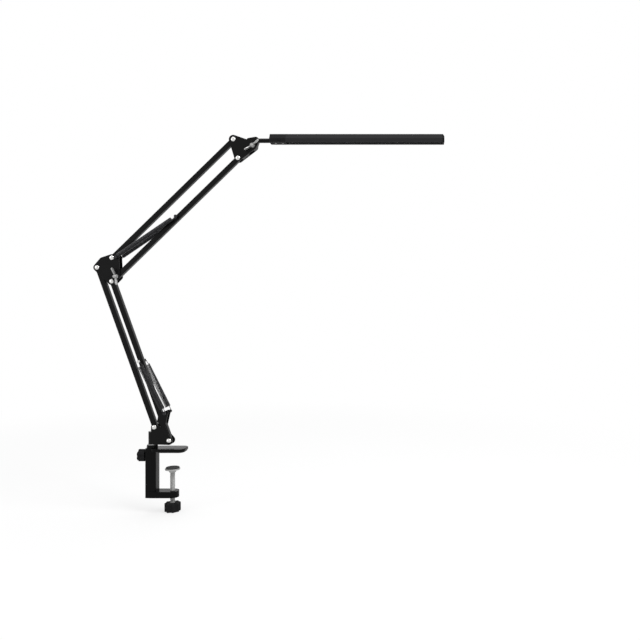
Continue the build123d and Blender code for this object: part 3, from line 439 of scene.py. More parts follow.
def finish_table(finishes):
    """A material for each slot of the record."""
    nylon = (0.02, 0.02, 0.02)
    rubber = (0.022, 0.022, 0.022)
    brass = (0.72, 0.52, 0.24)
    phosphor = (0.82, 0.66, 0.18)
    return {
        "black_paint": powder_coat(
            "Black powder coat", finishes.paint, roughness=0.3, peel=1500.0, depth=0.00003, gloss=0.12),
        "cast_black": powder_coat(
            "Coated casting", finishes.casting, roughness=0.22, peel=900.0, depth=0.00003, gloss=0.08),
        "nickel": plated_metal(
            "Nickel plate", finishes.nickel, roughness=0.17, spangle=2600.0, depth=0.00001),
        "zinc": plated_metal(
            "Dull zinc plate", finishes.zinc, roughness=0.34, spangle=1500.0, depth=0.00002,
            metallic=0.5),
        "black_steel": plated_metal(
            "Black oxide steel", finishes.oxide, roughness=0.34, spangle=1800.0, depth=0.00002),
        "spring_steel": spring_wire_finish("Oiled spring wire", finishes.wire),
        "rubber": rubber_finish("Clamp pad rubber", rubber),
        "nylon": moulded_plastic("Black nylon", nylon, roughness=0.5, texture=1800.0, depth=0.00003),
        "brass": plated_metal("Turned brass", brass, roughness=0.25, spangle=1800.0, depth=0.00002),
        "black_plastic": moulded_plastic(
            "Textured black plastic", finishes.plastic, roughness=0.47, texture=2600.0, depth=0.00005),
        "black_anodised": anodised_extrusion("Black anodised bar", finishes.anodised),
        "opal": opal_finish("Opal diffuser", finishes.opal),
        "board_white": circuit_board("White light board", (0.80, 0.80, 0.78), (0.70, 0.69, 0.65)),
        "phosphor": moulded_plastic(
            "Light chip phosphor", phosphor, roughness=0.4, texture=3000.0, depth=0.00002),
        "board_green": circuit_board("Green driver board", (0.02, 0.12, 0.05), (0.05, 0.22, 0.09)),
    }


def edge_wear_and_highlight_table(finishes):
    """Lighter, glossier finishes along edges: partly a thinner worn coat, partly a painted highlight on the
    edges.
    """
    # Edge colours made lighter than the faces: partly worn coat, partly painted edge highlight
    paint = shade(finishes.paint, 3.0)
    casting = shade(finishes.casting, 2.2)
    plastic = shade(finishes.plastic, 1.3)
    anodised = shade(finishes.anodised, 1.25)
    return {
        "black_paint": powder_coat(
            "Powder coat edges", paint, roughness=0.3, peel=1500.0, depth=0.00002, gloss=0.3),
        "cast_black": powder_coat(
            "Casting edges", casting, roughness=0.26, peel=900.0, depth=0.00004, gloss=0.25),
        "black_plastic": moulded_plastic(
            "Plastic edges", plastic, roughness=0.38, texture=2600.0, depth=0.00003),
        "black_anodised": anodised_extrusion("Bar edges", anodised),
    }


FINISH_NAMES = {}


def finish(slot):
    """The material made for a slot of the record."""
    return bpy.data.materials[FINISH_NAMES[slot]]


def dress(piece, slot):
    """Gives a new piece the finish of a slot."""
    piece.data.materials.clear()
    piece.data.materials.append(finish(slot))


# Meshes

def add_piece(name, mesh):
    """A new object at the origin."""
    piece = bpy.data.objects.new(name, mesh)
    bpy.context.scene.collection.objects.link(piece)
    return piece


def work_in(piece):
    """Works the modifiers into the mesh and removes them."""
    depsgraph = bpy.context.evaluated_depsgraph_get()
    mesh = bpy.data.meshes.new_from_object(piece.evaluated_get(depsgraph))
    piece.modifiers.clear()
    piece.data = mesh


def smooth_below(mesh, degrees):
    """Smooth shading, with edges sharper than an angle left crisp."""
    if "custom_normal" in mesh.attributes:
        mesh.attributes.remove(mesh.attributes["custom_normal"])
    mesh.shade_smooth()
    mesh.set_sharp_from_angle(angle=math.radians(degrees))


def merged_copy(name, node):
    """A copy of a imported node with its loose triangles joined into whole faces."""
    weld_gap = 0.000002
    flat_angle = math.radians(0.4)
    mesh = nodes[node].data.copy()
    work = bmesh.new()
    work.from_mesh(mesh)
    bmesh.ops.remove_doubles(work, verts=work.verts, dist=weld_gap)
    bmesh.ops.dissolve_limit(work, angle_limit=flat_angle, verts=work.verts, edges=work.edges)
    work.to_mesh(mesh)
    work.free()
    smooth_below(mesh, degrees=30.0)
    return add_piece(name, mesh)


def geometry_tree(name, sizes):
    """A geometry node tree with named inputs: its tree, its inputs and its outlet."""
    tree = bpy.data.node_groups.new(name, "GeometryNodeTree")
    tree.interface.new_socket(name="Geometry", in_out="INPUT", socket_type="NodeSocketGeometry")
    for size in sizes:
        tree.interface.new_socket(name=size, in_out="INPUT", socket_type="NodeSocketFloat")
    tree.interface.new_socket(name="Finish", in_out="INPUT", socket_type="NodeSocketMaterial")
    tree.interface.new_socket(name="Geometry", in_out="OUTPUT", socket_type="NodeSocketGeometry")
    inlet = tree.nodes.new("NodeGroupInput")
    outlet = tree.nodes.new("NodeGroupOutput")
    return tree, inlet.outputs, outlet.inputs["Geometry"]


def close_tree(tree, geometry, material, outlet):
    """Ends a tree: instances made real, and their finish."""
    real = made(tree, "GeometryNodeRealizeInstances", {"Geometry": geometry})
    dressed = made(tree, "GeometryNodeSetMaterial", {"Geometry": real, "Material": material})
    tree.links.new(dressed, outlet)


def spiral(tree, resolution, turns, radius, height):
    """A rising curve of even radius."""
    feeds = {"Resolution": resolution, "Rotations": turns, "Height": height}
    feeds.update({"Start Radius": radius, "End Radius": radius})
    return made(tree, "GeometryNodeCurveSpiral", feeds)


def run_along(tree, path, sides, radius):
    """A round or many-sided bar along a curve."""
    section = made(tree, "GeometryNodeCurvePrimitiveCircle", {"Resolution": sides, "Radius": radius})
    feeds = {"Curve": path, "Profile Curve": section, "Fill Caps": True}
    return made(tree, "GeometryNodeCurveToMesh", feeds)


def copy_to_points(tree, size, instance, turn, outlet):
    """Ends a tree with a turned copy on each starting point."""
    feeds = {"Points": size["Geometry"], "Instance": instance, "Rotation": turn}
    copies = made(tree, "GeometryNodeInstanceOnPoints", feeds)
    close_tree(tree, copies, size["Finish"], outlet)


def cylinder(tree, sides, radius, depth):
    """An upright cylinder about the origin."""
    feeds = {"Vertices": sides, "Radius": radius, "Depth": depth}
    return made(tree, "GeometryNodeMeshCylinder", feeds)


def cone(tree, sides, low_radius, high_radius, depth):
    """An upright cone that stands on the origin."""
    feeds = {"Vertices": sides, "Radius Bottom": low_radius, "Radius Top": high_radius, "Depth": depth}
    return made(tree, "GeometryNodeMeshCone", feeds)


def gather(tree, parts):
    """Joins geometry in the order given."""
    join = put(tree, "GeometryNodeJoinGeometry")
    for part in reversed(parts):
        tree.links.new(part, join.inputs[0])
    return join.outputs[0]


def shift(tree, geometry, z, turn=(0.0, 0.0, 0.0)):
    """Turns geometry and moves it along Z."""
    feeds = {"Geometry": geometry, "Translation": point(tree, 0.0, 0.0, z), "Rotation": turn}
    return made(tree, "GeometryNodeTransform", feeds)


def point(tree, x, y, z):
    """A point from three numbers or sockets."""
    return made(tree, "ShaderNodeCombineXYZ", {"X": x, "Y": y, "Z": z})


def grow(name, mesh, tree, values):
    """Runs a tree on a starting mesh, and returns its result as a plain piece."""
    piece = add_piece(name, mesh)
    modifier = piece.modifiers.new(tree.name, "NODES")
    modifier.node_group = tree
    for item in tree.interface.items_tree:
        if item.in_out == "INPUT" and item.name in values:
            modifier[item.identifier] = values[item.name]
    work_in(piece)
    return piece


def seed_mesh(name, places=((0.0, 0.0, 0.0),)):
    """A mesh of bare points, for a tree to start from."""
    mesh = bpy.data.meshes.new(name)
    mesh.from_pydata([tuple(place) for place in places], [], [])
    return mesh


# Balance springs

def coil_spring_tree():
    """A wound spring from stud to stud: hook, leg, coil, leg and hook in one wire."""
    sizes = ["Length", "Coil radius", "Wire diameter", "Turns"]
    sizes += ["Hook radius", "First leg", "Last leg", "Lead"]
    tree, size, outlet = geometry_tree("Coil spring", sizes)
    length = size["Length"]
    coil = size["Coil radius"]
    hook = size["Hook radius"]
    leg = size["First leg"]
    lead = size["Lead"]
    coil_start = reckon(tree, "ADD", leg, lead)
    leg_end = reckon(tree, "SUBTRACT", length, size["Last leg"])
    coil_end = reckon(tree, "SUBTRACT", leg_end, lead)
    coil_height = reckon(tree, "SUBTRACT", coil_end, coil_start)
    hook_turn = Matrix(((0, 1, 0), (0, 0, 1), (1, 0, 0))).to_euler()
    hook_sweep = math.radians(-270.0)
    lead_swing = 0.85
    lead_rise = 0.7

    def hook_arc(start):
        feeds = {"Resolution": 28, "Radius": hook, "Start Angle": start, "Sweep Angle": hook_sweep}
        return made(tree, "GeometryNodeCurveArc", feeds, mode="RADIUS")

    def straight(low, high):
        feeds = {"Start": point(tree, hook, 0.0, low), "End": point(tree, hook, 0.0, high)}
        return made(tree, "GeometryNodeCurvePrimitiveLine", feeds)

    def bend(start, start_handle, end_handle, end):
        feeds = {"Resolution": 14, "Start": start, "End": end}
        feeds.update({"Start Handle": start_handle, "End Handle": end_handle})
        return made(tree, "GeometryNodeCurvePrimitiveBezierSegment", feeds, mode="OFFSET")

    first_lead = bend(
        point(tree, hook, 0.0, leg),
        point(tree, 0.0, 0.0, portion(tree, lead, lead_rise)),
        point(tree, 0.0, portion(tree, coil, -lead_swing), 0.0),
        point(tree, coil, 0.0, coil_start))
    last_lead = bend(
        point(tree, coil, 0.0, coil_end),
        point(tree, 0.0, portion(tree, coil, lead_swing), 0.0),
        point(tree, 0.0, 0.0, portion(tree, lead, -lead_rise)),
        point(tree, hook, 0.0, leg_end))
    winding = spiral(tree, resolution=22, turns=size["Turns"], radius=coil, height=coil_height)
    runs = [
        shift(tree, hook_arc(0.0), 0.0, hook_turn),
        straight(0.0, leg),
        first_lead,
        shift(tree, winding, coil_start),
        last_lead,
        straight(leg_end, length),
        shift(tree, hook_arc(math.radians(90.0)), length, hook_turn),
    ]
    beads = made(tree, "GeometryNodeCurveToPoints", {"Curve": gather(tree, runs)}, mode="EVALUATED")
    merged = made(tree, "GeometryNodeMergeByDistance", {"Geometry": beads, "Distance": 0.00002})
    order = made(tree, "GeometryNodeInputIndex")
    path = made(tree, "GeometryNodePointsToCurves", {"Points": merged, "Weight": order})
    wire = run_along(tree, path, sides=10, radius=portion(tree, size["Wire diameter"], 0.5))
    smooth = made(tree, "GeometryNodeSetShadeSmooth", {"Geometry": wire, "Shade Smooth": True})
    close_tree(tree, smooth, size["Finish"], outlet)
    return tree


def middle_of(node):
    """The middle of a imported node, in the arm plane."""
    low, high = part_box(node)
    return Vector(((low.x + high.x) / 2, 0.0, (low.z + high.z) / 2))


class LAMP_OT_springs(bpy.types.Operator):
    """Winds the four balance springs and hangs each between its stud and its pin"""

    bl_idname = "lamp.springs"
    bl_label = "Balance springs"

    def execute(self, context):
        sizes = context.scene.lamp_sizes
        tree = coil_spring_tree()
        no_lean = 1.0
        upper_lean = 0.8
        lower = (sizes.lower_coil, sizes.lower_wire, sizes.lower_turns, sizes.lower_offset, sizes.lower_leg)
        upper = (sizes.upper_coil, sizes.upper_wire, sizes.upper_turns, sizes.upper_offset, sizes.upper_leg)
        pairs = (
            ("lower", lower, "base", "lower_right", no_lean),
            ("upper", upper, "elbow", "upper_bottom", upper_lean),
        )
        for arm, (coil, wire, turns, offset, leg), holder, mover, lean in pairs:
            start = middle_of(f"{holder}_spring_studs")
            end = middle_of(f"{arm}_spring_pin")
            along = (end - start).normalized()
            out = Vector((0.0, 1.0, 0.0))
            side = out.cross(along)
            axes = Matrix((side, out, along)).transposed().to_4x4()
            values = {
                "Length": (end - start).length,
                "Coil radius": coil,
                "Wire diameter": wire,
                "Turns": float(turns),
                "Hook radius": sizes.stud_radius + wire / 2 + sizes.hook_play,
                "First leg": leg,
                "Last leg": sizes.pin_leg,
                "Lead": sizes.spring_lead,
                "Finish": finish("spring_steel"),
            }
            for face, way in (("front", -1.0), ("rear", 1.0)):
                node = f"{arm}_spring_{face}"
                across = Vector((0.0, way * offset, 0.0))
                piece = grow(f"{node}_wire", seed_mesh(node), tree, values)
                piece.data.transform(Matrix.Translation(start + across) @ axes)
                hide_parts(node)
                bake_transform(piece)
        return {"FINISHED"}


# Threaded rods

def threaded_rod_tree():
    """A rod with a wound thread, a plain tip at its top and a hexagon head below its foot."""
    sizes = ["Radius", "Length", "Pitch", "Thread depth", "Thread start", "Thread end"]
    sizes += ["Tip radius", "Tip length", "Head radius", "Head height"]
    tree, size, outlet = geometry_tree("Threaded rod", sizes)
    round_sides = 40
    head_sides = 6
    crown_share = 0.18
    crown_pinch = 0.88
    length = size["Length"]
    start = size["Thread start"]
    head_radius = size["Head radius"]
    head_height = size["Head height"]
    core = reckon(tree, "SUBTRACT", size["Radius"], size["Thread depth"])
    run = reckon(tree, "SUBTRACT", size["Thread end"], start)
    turns = reckon(tree, "DIVIDE", run, size["Pitch"])
    winding = spiral(tree, resolution=36, turns=turns, radius=core, height=run)
    upright = made(tree, "GeometryNodeSetCurveNormal", {"Curve": winding}, mode="Z_UP")
    thread = run_along(tree, upright, sides=4, radius=size["Thread depth"])
    tip_middle = reckon(tree, "MULTIPLY_ADD", size["Tip length"], 0.5, length)
    body_height = portion(tree, head_height, 1.0 - crown_share)
    crown_height = portion(tree, head_height, crown_share)
    crown_radius = portion(tree, head_radius, crown_pinch)
    rod = cylinder(tree, round_sides, core, length)
    shank = cylinder(tree, round_sides, size["Radius"], start)
    tip = cylinder(tree, round_sides, size["Tip radius"], size["Tip length"])
    head = cylinder(tree, head_sides, head_radius, body_height)
    crown = cone(tree, head_sides, crown_radius, head_radius, crown_height)
    parts = [
        shift(tree, rod, portion(tree, length, 0.5)),
        shift(tree, shank, portion(tree, start, 0.5)),
        shift(tree, thread, start),
        shift(tree, tip, tip_middle),
        shift(tree, head, portion(tree, body_height, -0.5)),
        shift(tree, crown, portion(tree, head_height, -1.0)),
    ]
    close_tree(tree, gather(tree, parts), size["Finish"], outlet)
    return tree


def axes_along(direction, origin):
    """A place whose Z axis lies along a direction."""
    turn = Vector(direction).to_track_quat("Z", "X").to_matrix().to_4x4()
    return Matrix.Translation(origin) @ turn


# Radius and pitch of each kind of rod
CLAMP_ROD = (0.005, 0.0015)
SMALL_ROD = (0.003, 0.001)
# Tip of the clamp screw, inside its pressure foot
CLAMP_TIP_RADIUS = 0.0035
CLAMP_TIP_LENGTH = 0.005
# A clamping bolt's hexagon head, half across its flats and its height, and its plain shank
BOLT_HALF_FLATS = 0.005
BOLT_HEAD_HEIGHT = 0.004
BOLT_SHANK = 0.0155
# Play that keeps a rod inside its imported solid, and a length too short to see
ROD_PLAY = 0.00002
NEXT_TO_NONE = 0.00001


class LAMP_OT_threads(bpy.types.Operator):
    """Cuts the threads of the clamp screw, the lock stud and the two clamping bolts"""

    bl_idname = "lamp.threads"
    bl_label = "Threaded rods"

    def execute(self, context):
        tree = threaded_rod_tree()
        cheek = context.scene.lamp_sizes.cheek_half
        low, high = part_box("clamp_screw")
        foot = Vector((0, 0, low.z))
        run = high.z - low.z - CLAMP_TIP_LENGTH
        rods = [("clamp_screw", "clamp_screw", foot, (0, 0, 1), run, CLAMP_ROD)]
        low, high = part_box("lock_stud")
        foot = Vector((high.x, 0, (low.z + high.z) / 2))
        rods.append(("lock_stud", "lock_screw", foot, (-1, 0, 0), high.x - low.x, SMALL_ROD))
        for node, body in (("elbow_bolt", "elbow"), ("tilt_bolt", "head")):
            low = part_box(node)[0]
            foot = middle_of(node) + Vector((0, cheek, 0))
            rods.append((node, body, foot, (0, -1, 0), cheek - low.y, SMALL_ROD))
        for node, body, foot, direction, length, (radius, pitch) in rods:
            bolt = node.endswith("bolt")
            tipped = node == "clamp_screw"
            values = {
                "Radius": radius - ROD_PLAY,
                "Length": length - ROD_PLAY,
                "Pitch": pitch,
                "Thread depth": pitch * 0.34,
                "Thread start": BOLT_SHANK if bolt else 0.0004,
                "Thread end": length - pitch * 0.5,
                "Tip radius": CLAMP_TIP_RADIUS if tipped else radius * 0.7,
                "Tip length": CLAMP_TIP_LENGTH if tipped else NEXT_TO_NONE,
                "Head radius": BOLT_HALF_FLATS / math.cos(math.radians(30)) if bolt else radius * 0.5,
                "Head height": BOLT_HEAD_HEIGHT if bolt else NEXT_TO_NONE,
                "Finish": finish("zinc"),
            }
            piece = grow(f"{node}_threaded", seed_mesh(node), tree, values)
            piece.data.transform(axes_along(direction, foot))
            smooth_below(piece.data, degrees=35.0)
            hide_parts(node)
            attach(piece, body)
        return {"FINISHED"}


# Rivets

def rivet_tree():
    """A domed rivet on each point, its head at the front and its formed tail at the rear."""
    sizes = ["Head radius", "Head height", "Shank radius", "Tail radius", "Tail height", "Half grip"]
    tree, size, outlet = geometry_tree("Rivets", sizes)
    place = made(tree, "GeometryNodeInputPosition")
    parts = put(tree, "ShaderNodeSeparateXYZ", {"Vector": place}).outputs
    half_grip = size["Half grip"]
    toward_front = (math.radians(90.0), 0.0, 0.0)

    def dome(radius, height, operation):
        ball = made(tree, "GeometryNodeMeshUVSphere", {"Segments": 40, "Rings": 24, "Radius": radius})
        cut = reckon(tree, operation, parts["Z"], 0.0)
        flat = portion(tree, cut, reckon(tree, "DIVIDE", height, radius))
        feeds = {"Geometry": ball, "Position": point(tree, parts["X"], parts["Y"], flat)}
        return made(tree, "GeometryNodeSetPosition", feeds)

    head = dome(size["Head radius"], size["Head height"], "MAXIMUM")
    tail = dome(size["Tail radius"], size["Tail height"], "MINIMUM")
    rivet = gather(tree, [
        shift(tree, head, half_grip),
        cylinder(tree, sides=32, radius=size["Shank radius"], depth=portion(tree, half_grip, 2.0)),
        shift(tree, tail, portion(tree, half_grip, -1.0)),
    ])
    copy_to_points(tree, size, rivet, toward_front, outlet)
    return tree


class LAMP_OT_rivets(bpy.types.Operator):
    """Sets the domed rivets of the base, the elbow and the head bracket"""

    bl_idname = "lamp.rivets"
    bl_label = "Rivets"

    def execute(self, context):
        sizes = context.scene.lamp_sizes
        tree = rivet_tree()
        base_left = pivot_of_joint["lower_arm_swing"]
        base_right = pivot_of_joint["lower_right_swing"]
        elbow_left = pivot_of_joint["elbow_hold"]
        elbow_top = pivot_of_joint["upper_arm_swing"]
        elbow_bottom = pivot_of_joint["upper_bottom_swing"]
        head_top = pivot_of_joint["head_hold"]
        sets = (
            ("base_rivet", "base", [base_left]),
            ("elbow_rivets", "elbow", [elbow_left, elbow_left + base_right - base_left, elbow_top]),
            ("head_rivets", "head", [head_top, head_top + elbow_bottom - elbow_top]),
        )
        values = {
            "Head radius": sizes.rivet_head / 2,
            "Head height": 0.0022,
            "Shank radius": 0.0025,
            "Tail radius": 0.0043,
            "Tail height": 0.0018,
            "Half grip": sizes.cheek_half,
            "Finish": finish("nickel"),
        }
        for node, body, places in sets:
            piece = grow(f"{node}_domed", seed_mesh(node, places), tree, values)
            smooth_below(piece.data, degrees=40.0)
            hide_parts(node)
            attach(piece, body)
        return {"FINISHED"}


# Cross-head screws

def cross_screw_tree():
    """A screw on each point, its head's face at the point and a cross pressed into it."""
    sizes = ["Head radius", "Head foot", "Head height", "Shank radius", "Length"]
    sizes += ["Slot width", "Slot depth"]
    tree, size, outlet = geometry_tree("Cross-head screws", sizes)
    head_height = size["Head height"]
    length = size["Length"]
    width = size["Slot width"]
    head_sides = 40
    shank_sides = 32
    slot_overrun = 1.25
    turn_of_each = 0.9
    head = cone(tree, head_sides, size["Head foot"], size["Head radius"], head_height)
    neck = portion(tree, head_height, 0.5)
    shank = cylinder(tree, shank_sides, size["Shank radius"], reckon(tree, "SUBTRACT", length, neck))
    shank_middle = portion(tree, reckon(tree, "ADD", length, neck), -0.5)
    blank = put(tree, "GeometryNodeMeshBoolean", operation="UNION")
    tree.links.new(shift(tree, head, portion(tree, head_height, -1.0)), blank.inputs["Mesh 2"])
    tree.links.new(shift(tree, shank, shank_middle), blank.inputs["Mesh 2"])
    reach = portion(tree, size["Head radius"], slot_overrun)
    depth = portion(tree, size["Slot depth"], 2.0)
    pressed = put(tree, "GeometryNodeMeshBoolean", {"Mesh 1": blank.outputs[0]}, operation="DIFFERENCE")
    for slot in (point(tree, reach, width, depth), point(tree, width, reach, depth)):
        blade = made(tree, "GeometryNodeMeshCube", {"Size": slot})
        tree.links.new(blade, pressed.inputs["Mesh 2"])
    order = made(tree, "GeometryNodeInputIndex")
    turn = point(tree, 0.0, 0.0, portion(tree, order, turn_of_each))
    copy_to_points(tree, size, pressed.outputs[0], turn, outlet)
    return tree


class LAMP_OT_screws(bpy.types.Operator):
    """Presses the cross-head screws of the bottom cover and of the end cap"""

    bl_idname = "lamp.screws"
    bl_label = "Cross-head screws"

    def execute(self, context):
        tree = cross_screw_tree()
        pan_height = 0.0008
        cover_shank = 0.00099
        cap_foot = 0.00109
        cap_shank = 0.00108
        low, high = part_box("cover_screws")
        pan = (high.y - low.y) / 2
        cover = [Vector((low.x + pan, 0.0, low.z)), Vector((high.x - pan, 0.0, low.z))]
        cover_sizes = (pan, pan, pan_height, cover_shank, high.z - low.z)
        low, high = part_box("end_cap_screws")
        sunk = (high.z - low.z) / 2
        middle = (low.z + high.z) / 2
        cap = [Vector((high.x, low.y + sunk, middle)), Vector((high.x, high.y - sunk, middle))]
        cap_sizes = (sunk, cap_foot, sunk - cap_foot, cap_shank, high.x - low.x)
        sets = (
            ("cover_screws", cover, (0.0, 0.0, -1.0), cover_sizes),
            ("end_cap_screws", cap, (1.0, 0.0, 0.0), cap_sizes),
        )
        for node, places, facing, (head, foot, height, shank, length) in sets:
            axes = axes_along(facing, places[0])
            seeds = [axes.inverted() @ place for place in places]
            values = {
                "Head radius": head,
                "Head foot": foot,
                "Head height": height,
                "Shank radius": shank,
                "Length": length,
                "Slot width": head * 0.24,
                "Slot depth": 0.0006,
                "Finish": finish("zinc"),
            }
            piece = grow(f"{node}_pressed", seed_mesh(node, seeds), tree, values)
            piece.data.transform(axes)
            smooth_below(piece.data, degrees=30.0)
            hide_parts(node)
            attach(piece, "light_bar")
        return {"FINISHED"}


# Wing nuts

def rounded_outline(corners, rounds):
    """A closed outline with its corners cut again and again until it is smooth."""
    outline = [Vector(corner) for corner in corners]
    for _ in range(rounds):
        cut = []
        for start, end in zip(outline, outline[1:] + outline[:1]):
            cut.append(start.lerp(end, 0.25))
            cut.append(start.lerp(end, 0.75))
        outline = cut
    return outline


def add_wing(work, thickness, side, reach, rise):
    """One wing of a wing nut, standing out along X and up along Z."""
    # Shares of the reach and the rise, round from the root
    corners = [
        (0.16, 0.05), (0.44, 0.09), (0.70, 0.17), (0.95, 0.34), (1.04, 0.66),
        (1.02, 0.99), (0.83, 1.04), (0.64, 0.92), (0.42, 0.70), (0.16, 0.58),
    ]
    outline = rounded_outline([(reach * x, rise * z) for x, z in corners], rounds=3)
    near = [work.verts.new((side * corner.x, -thickness / 2, corner.y)) for corner in outline]
    far = [work.verts.new((side * corner.x, thickness / 2, corner.y)) for corner in outline]
    work.faces.new(near)
    work.faces.new(list(reversed(far)))
    count = len(outline)
    for i in range(count):
        after = (i + 1) % count
        work.faces.new((near[i], far[i], far[after], near[after]))


def add_hub(work):
    """The round hub of a wing nut, bored through, as a turned ring."""
    # Radius and height, round from the edge of the bore at the seat
    section = [
        (0.00315, 0.0004), (0.0035, 0.0), (0.0043, 0.0), (0.0046, 0.0004), (0.0045, 0.0012),
        (0.0041, 0.0018), (0.0039, 0.0054), (0.0037, 0.0058), (0.0034, 0.0058), (0.00315, 0.0054),
    ]
    ring = [work.verts.new((radius, 0.0, height)) for radius, height in section]
    edges = [work.edges.new((ring[i], ring[(i + 1) % len(ring)])) for i in range(len(ring))]
    bmesh.ops.spin(
        work, geom=ring + edges, cent=(0, 0, 0), axis=(0, 0, 1),
        angle=math.tau, steps=48, use_merge=True)


def wing_nut_mesh(name, thickness, reach, rise):
    """A forged wing nut, its wings along X and its seat at z = 0."""
    mesh = bpy.data.meshes.new(name)
    work = bmesh.new()
    add_hub(work)
    add_wing(work, thickness, 1.0, reach, rise)
    add_wing(work, thickness, -1.0, reach, rise)
    bmesh.ops.remove_doubles(work, verts=work.verts, dist=0.000001)
    bmesh.ops.recalc_face_normals(work, faces=work.faces)
    work.to_mesh(mesh)
    work.free()
    return mesh


class LAMP_OT_wing_nuts(bpy.types.Operator):
    """Forges the two wing nuts, with wings that flow into their hubs"""

    bl_idname = "lamp.wing_nuts"
    bl_label = "Wing nuts"

    def execute(self, context):
        sizes = context.scene.lamp_sizes
        nuts = (
            ("elbow_wing_nut", "elbow_nut", pivot_of_joint["elbow_nut_turn"], sizes.elbow_wing_turn),
            ("tilt_wing_nut", "tilt_nut", pivot_of_joint["tilt_nut_turn"], sizes.tilt_wing_turn),
        )
        for node, body, pivot, turn in nuts:
            low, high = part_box(node)
            seat = high.y
            along = Vector((math.cos(turn), 0.0, math.sin(turn)))
            outward = Vector((0.0, -1.0, 0.0))
            axes = Matrix((along, outward.cross(along), outward)).transposed().to_4x4()
            mesh = wing_nut_mesh(node, sizes.wing_thickness, sizes.wing_reach, seat - low.y)
            piece = add_piece(f"{node}_forged", mesh)
            fuse = piece.modifiers.new("Fuse wings and hub", "REMESH")
            fuse.mode = "VOXEL"
            fuse.voxel_size = 0.00032
            soften = piece.modifiers.new("Soften", "SMOOTH")
            soften.factor = 0.5
            soften.iterations = 5
            work_in(piece)
            piece.data.transform(Matrix.Translation((pivot.x, seat, pivot.z)) @ axes)
            piece.data.shade_smooth()
            dress(piece, "zinc")
            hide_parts(node)
            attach(piece, body)
        return {"FINISHED"}


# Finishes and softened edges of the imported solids

class LAMP_OT_finishes(bpy.types.Operator):
    """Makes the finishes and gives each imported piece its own"""

    bl_idname = "lamp.finishes"
    bl_label = "Finishes"

    def execute(self, context):
        for slot, material in finish_table(context.scene.lamp_finishes).items():
            FINISH_NAMES[slot] = material.name
        for node, slot in slot_of_node.items():
            nodes[node].material_slots[0].material = finish(slot)
        return {"FINISHED"}


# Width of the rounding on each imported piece
SOFT_EDGES = {
    "clamp_frame": 0.0009,
    "jaw_pad": 0.0004,
    "socket_bush": 0.0003,
    "pressure_foot": 0.0005,
    "pressure_pad": 0.0004,
    "clamp_knob": 0.0006,
    "lock_knob": 0.0006,
    "spindle": 0.0004,
    "base_bracket": 0.0004,
    "base_screw": 0.0002,
    "base_spring_studs": 0.0003,
    "lower_left_tube": 0.00015,
    "lower_right_tube": 0.00015,
    "lower_spring_pin": 0.0003,
    "elbow_bracket": 0.0004,
    "elbow_spring_studs": 0.0003,
    "elbow_clamp_washer": 0.0002,
    "upper_top_tube": 0.00015,
    "upper_bottom_tube": 0.00015,
    "upper_spring_pin": 0.0003,
    "head_bracket": 0.0004,
    "tilt_clamp_washer": 0.0002,
    "neck": 0.0004,
    "control_housing": 0.0005,
    "control_cover": 0.0002,
    "bar_body": 0.0004,
    "end_cap": 0.0005,
    "power_button": 0.0003,
    "power_inlet": 0.0002,
    "diffuser": 0.0002,
}


class LAMP_OT_soft_edges(bpy.types.Operator):
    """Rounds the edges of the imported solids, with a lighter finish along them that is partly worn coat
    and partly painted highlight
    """

    bl_idname = "lamp.soft_edges"
    bl_label = "Soft edges"

    def execute(self, context):
        edge_wear_and_highlight = edge_wear_and_highlight_table(context.scene.lamp_finishes)
        bodies = frame["record"]["behaviour"]["bodies"]
        body_of_node = {node: body for body, members in bodies.items() for node in members}
        for node, width in SOFT_EDGES.items():
            slot = slot_of_node[node]
            piece = merged_copy(f"{node}_soft", node)
            dress(piece, slot)
            bevel = piece.modifiers.new("Soft edges", "BEVEL")
            bevel.width = width
            bevel.segments = 2
            bevel.limit_method = "ANGLE"
            bevel.angle_limit = math.radians(40.0)
            bevel.harden_normals = True
            # Rounded edges take the lighter finish: worn coat and painted edge highlight
            if slot in edge_wear_and_highlight:
                piece.data.materials.append(edge_wear_and_highlight[slot])
                bevel.material = 1
            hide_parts(node)
            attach(piece, body_of_node[node])
        return {"FINISHED"}


# Stage

def white_for_lens(tree):
    """One for what the camera sees, direct, in gloss or through glass, and nought for other light."""
    path = put(tree, "ShaderNodeLightPath").outputs
    seen = reckon(tree, "MAXIMUM", path["Is Camera Ray"], path["Is Glossy Ray"])
    return reckon(tree, "MAXIMUM", seen, path["Is Transmission Ray"])


def light_room(ambient):
    """An even white room."""
    world = bpy.data.worlds.new("Room")
    world.use_nodes = True
    tree = world.node_tree
    background = tree.nodes["Background"]
    background.inputs["Color"].default_value = (1.0, 1.0, 1.0, 1.0)
    feeds = {"Value": white_for_lens(tree), "To Min": ambient, "To Max": 1.0}
    strength = made(tree, "ShaderNodeMapRange", feeds)
    tree.links.new(strength, background.inputs["Strength"])
    bpy.context.scene.world = world


def lay_floor(colour, height):
    """A pale floor that keeps the lamp's shadow and runs out into white."""
    mesh = bpy.data.meshes.new("floor")
    reach = 9.0
    corners = [(-1, -1), (1, -1), (1, 1), (-1, 1)]
    mesh.from_pydata([(reach * x, reach * y, height) for x, y in corners], [], [(0, 1, 2, 3)])
    floor = add_piece("floor", mesh)
    material = bpy.data.materials.new("Pale floor")
    material.use_nodes = True
    tree = material.node_tree
    tree.nodes.remove(tree.nodes["Principled BSDF"])
    place = put(tree, "ShaderNodeTexCoord").outputs["Object"]
    away = put(tree, "ShaderNodeVectorMath", {0: place}, operation="LENGTH").outputs["Value"]
    feeds = {"Value": away, "From Min": 0.5, "From Max": 1.6, "To Min": 0.72, "To Max": 1.0}
    fade = made(tree, "ShaderNodeMapRange", feeds, interpolation_type="SMOOTHSTEP")
    share = portion(tree, fade, white_for_lens(tree))
    matt = made(tree, "ShaderNodeBsdfDiffuse", {"Color": (*colour, 1.0)})
    white = made(tree, "ShaderNodeEmission", {"Strength": 1.0})
    mix = made(tree, "ShaderNodeMixShader", {0: share, 1: matt, 2: white})
    tree.links.new(mix, tree.nodes["Material Output"].inputs["Surface"])
    mesh.materials.append(material)


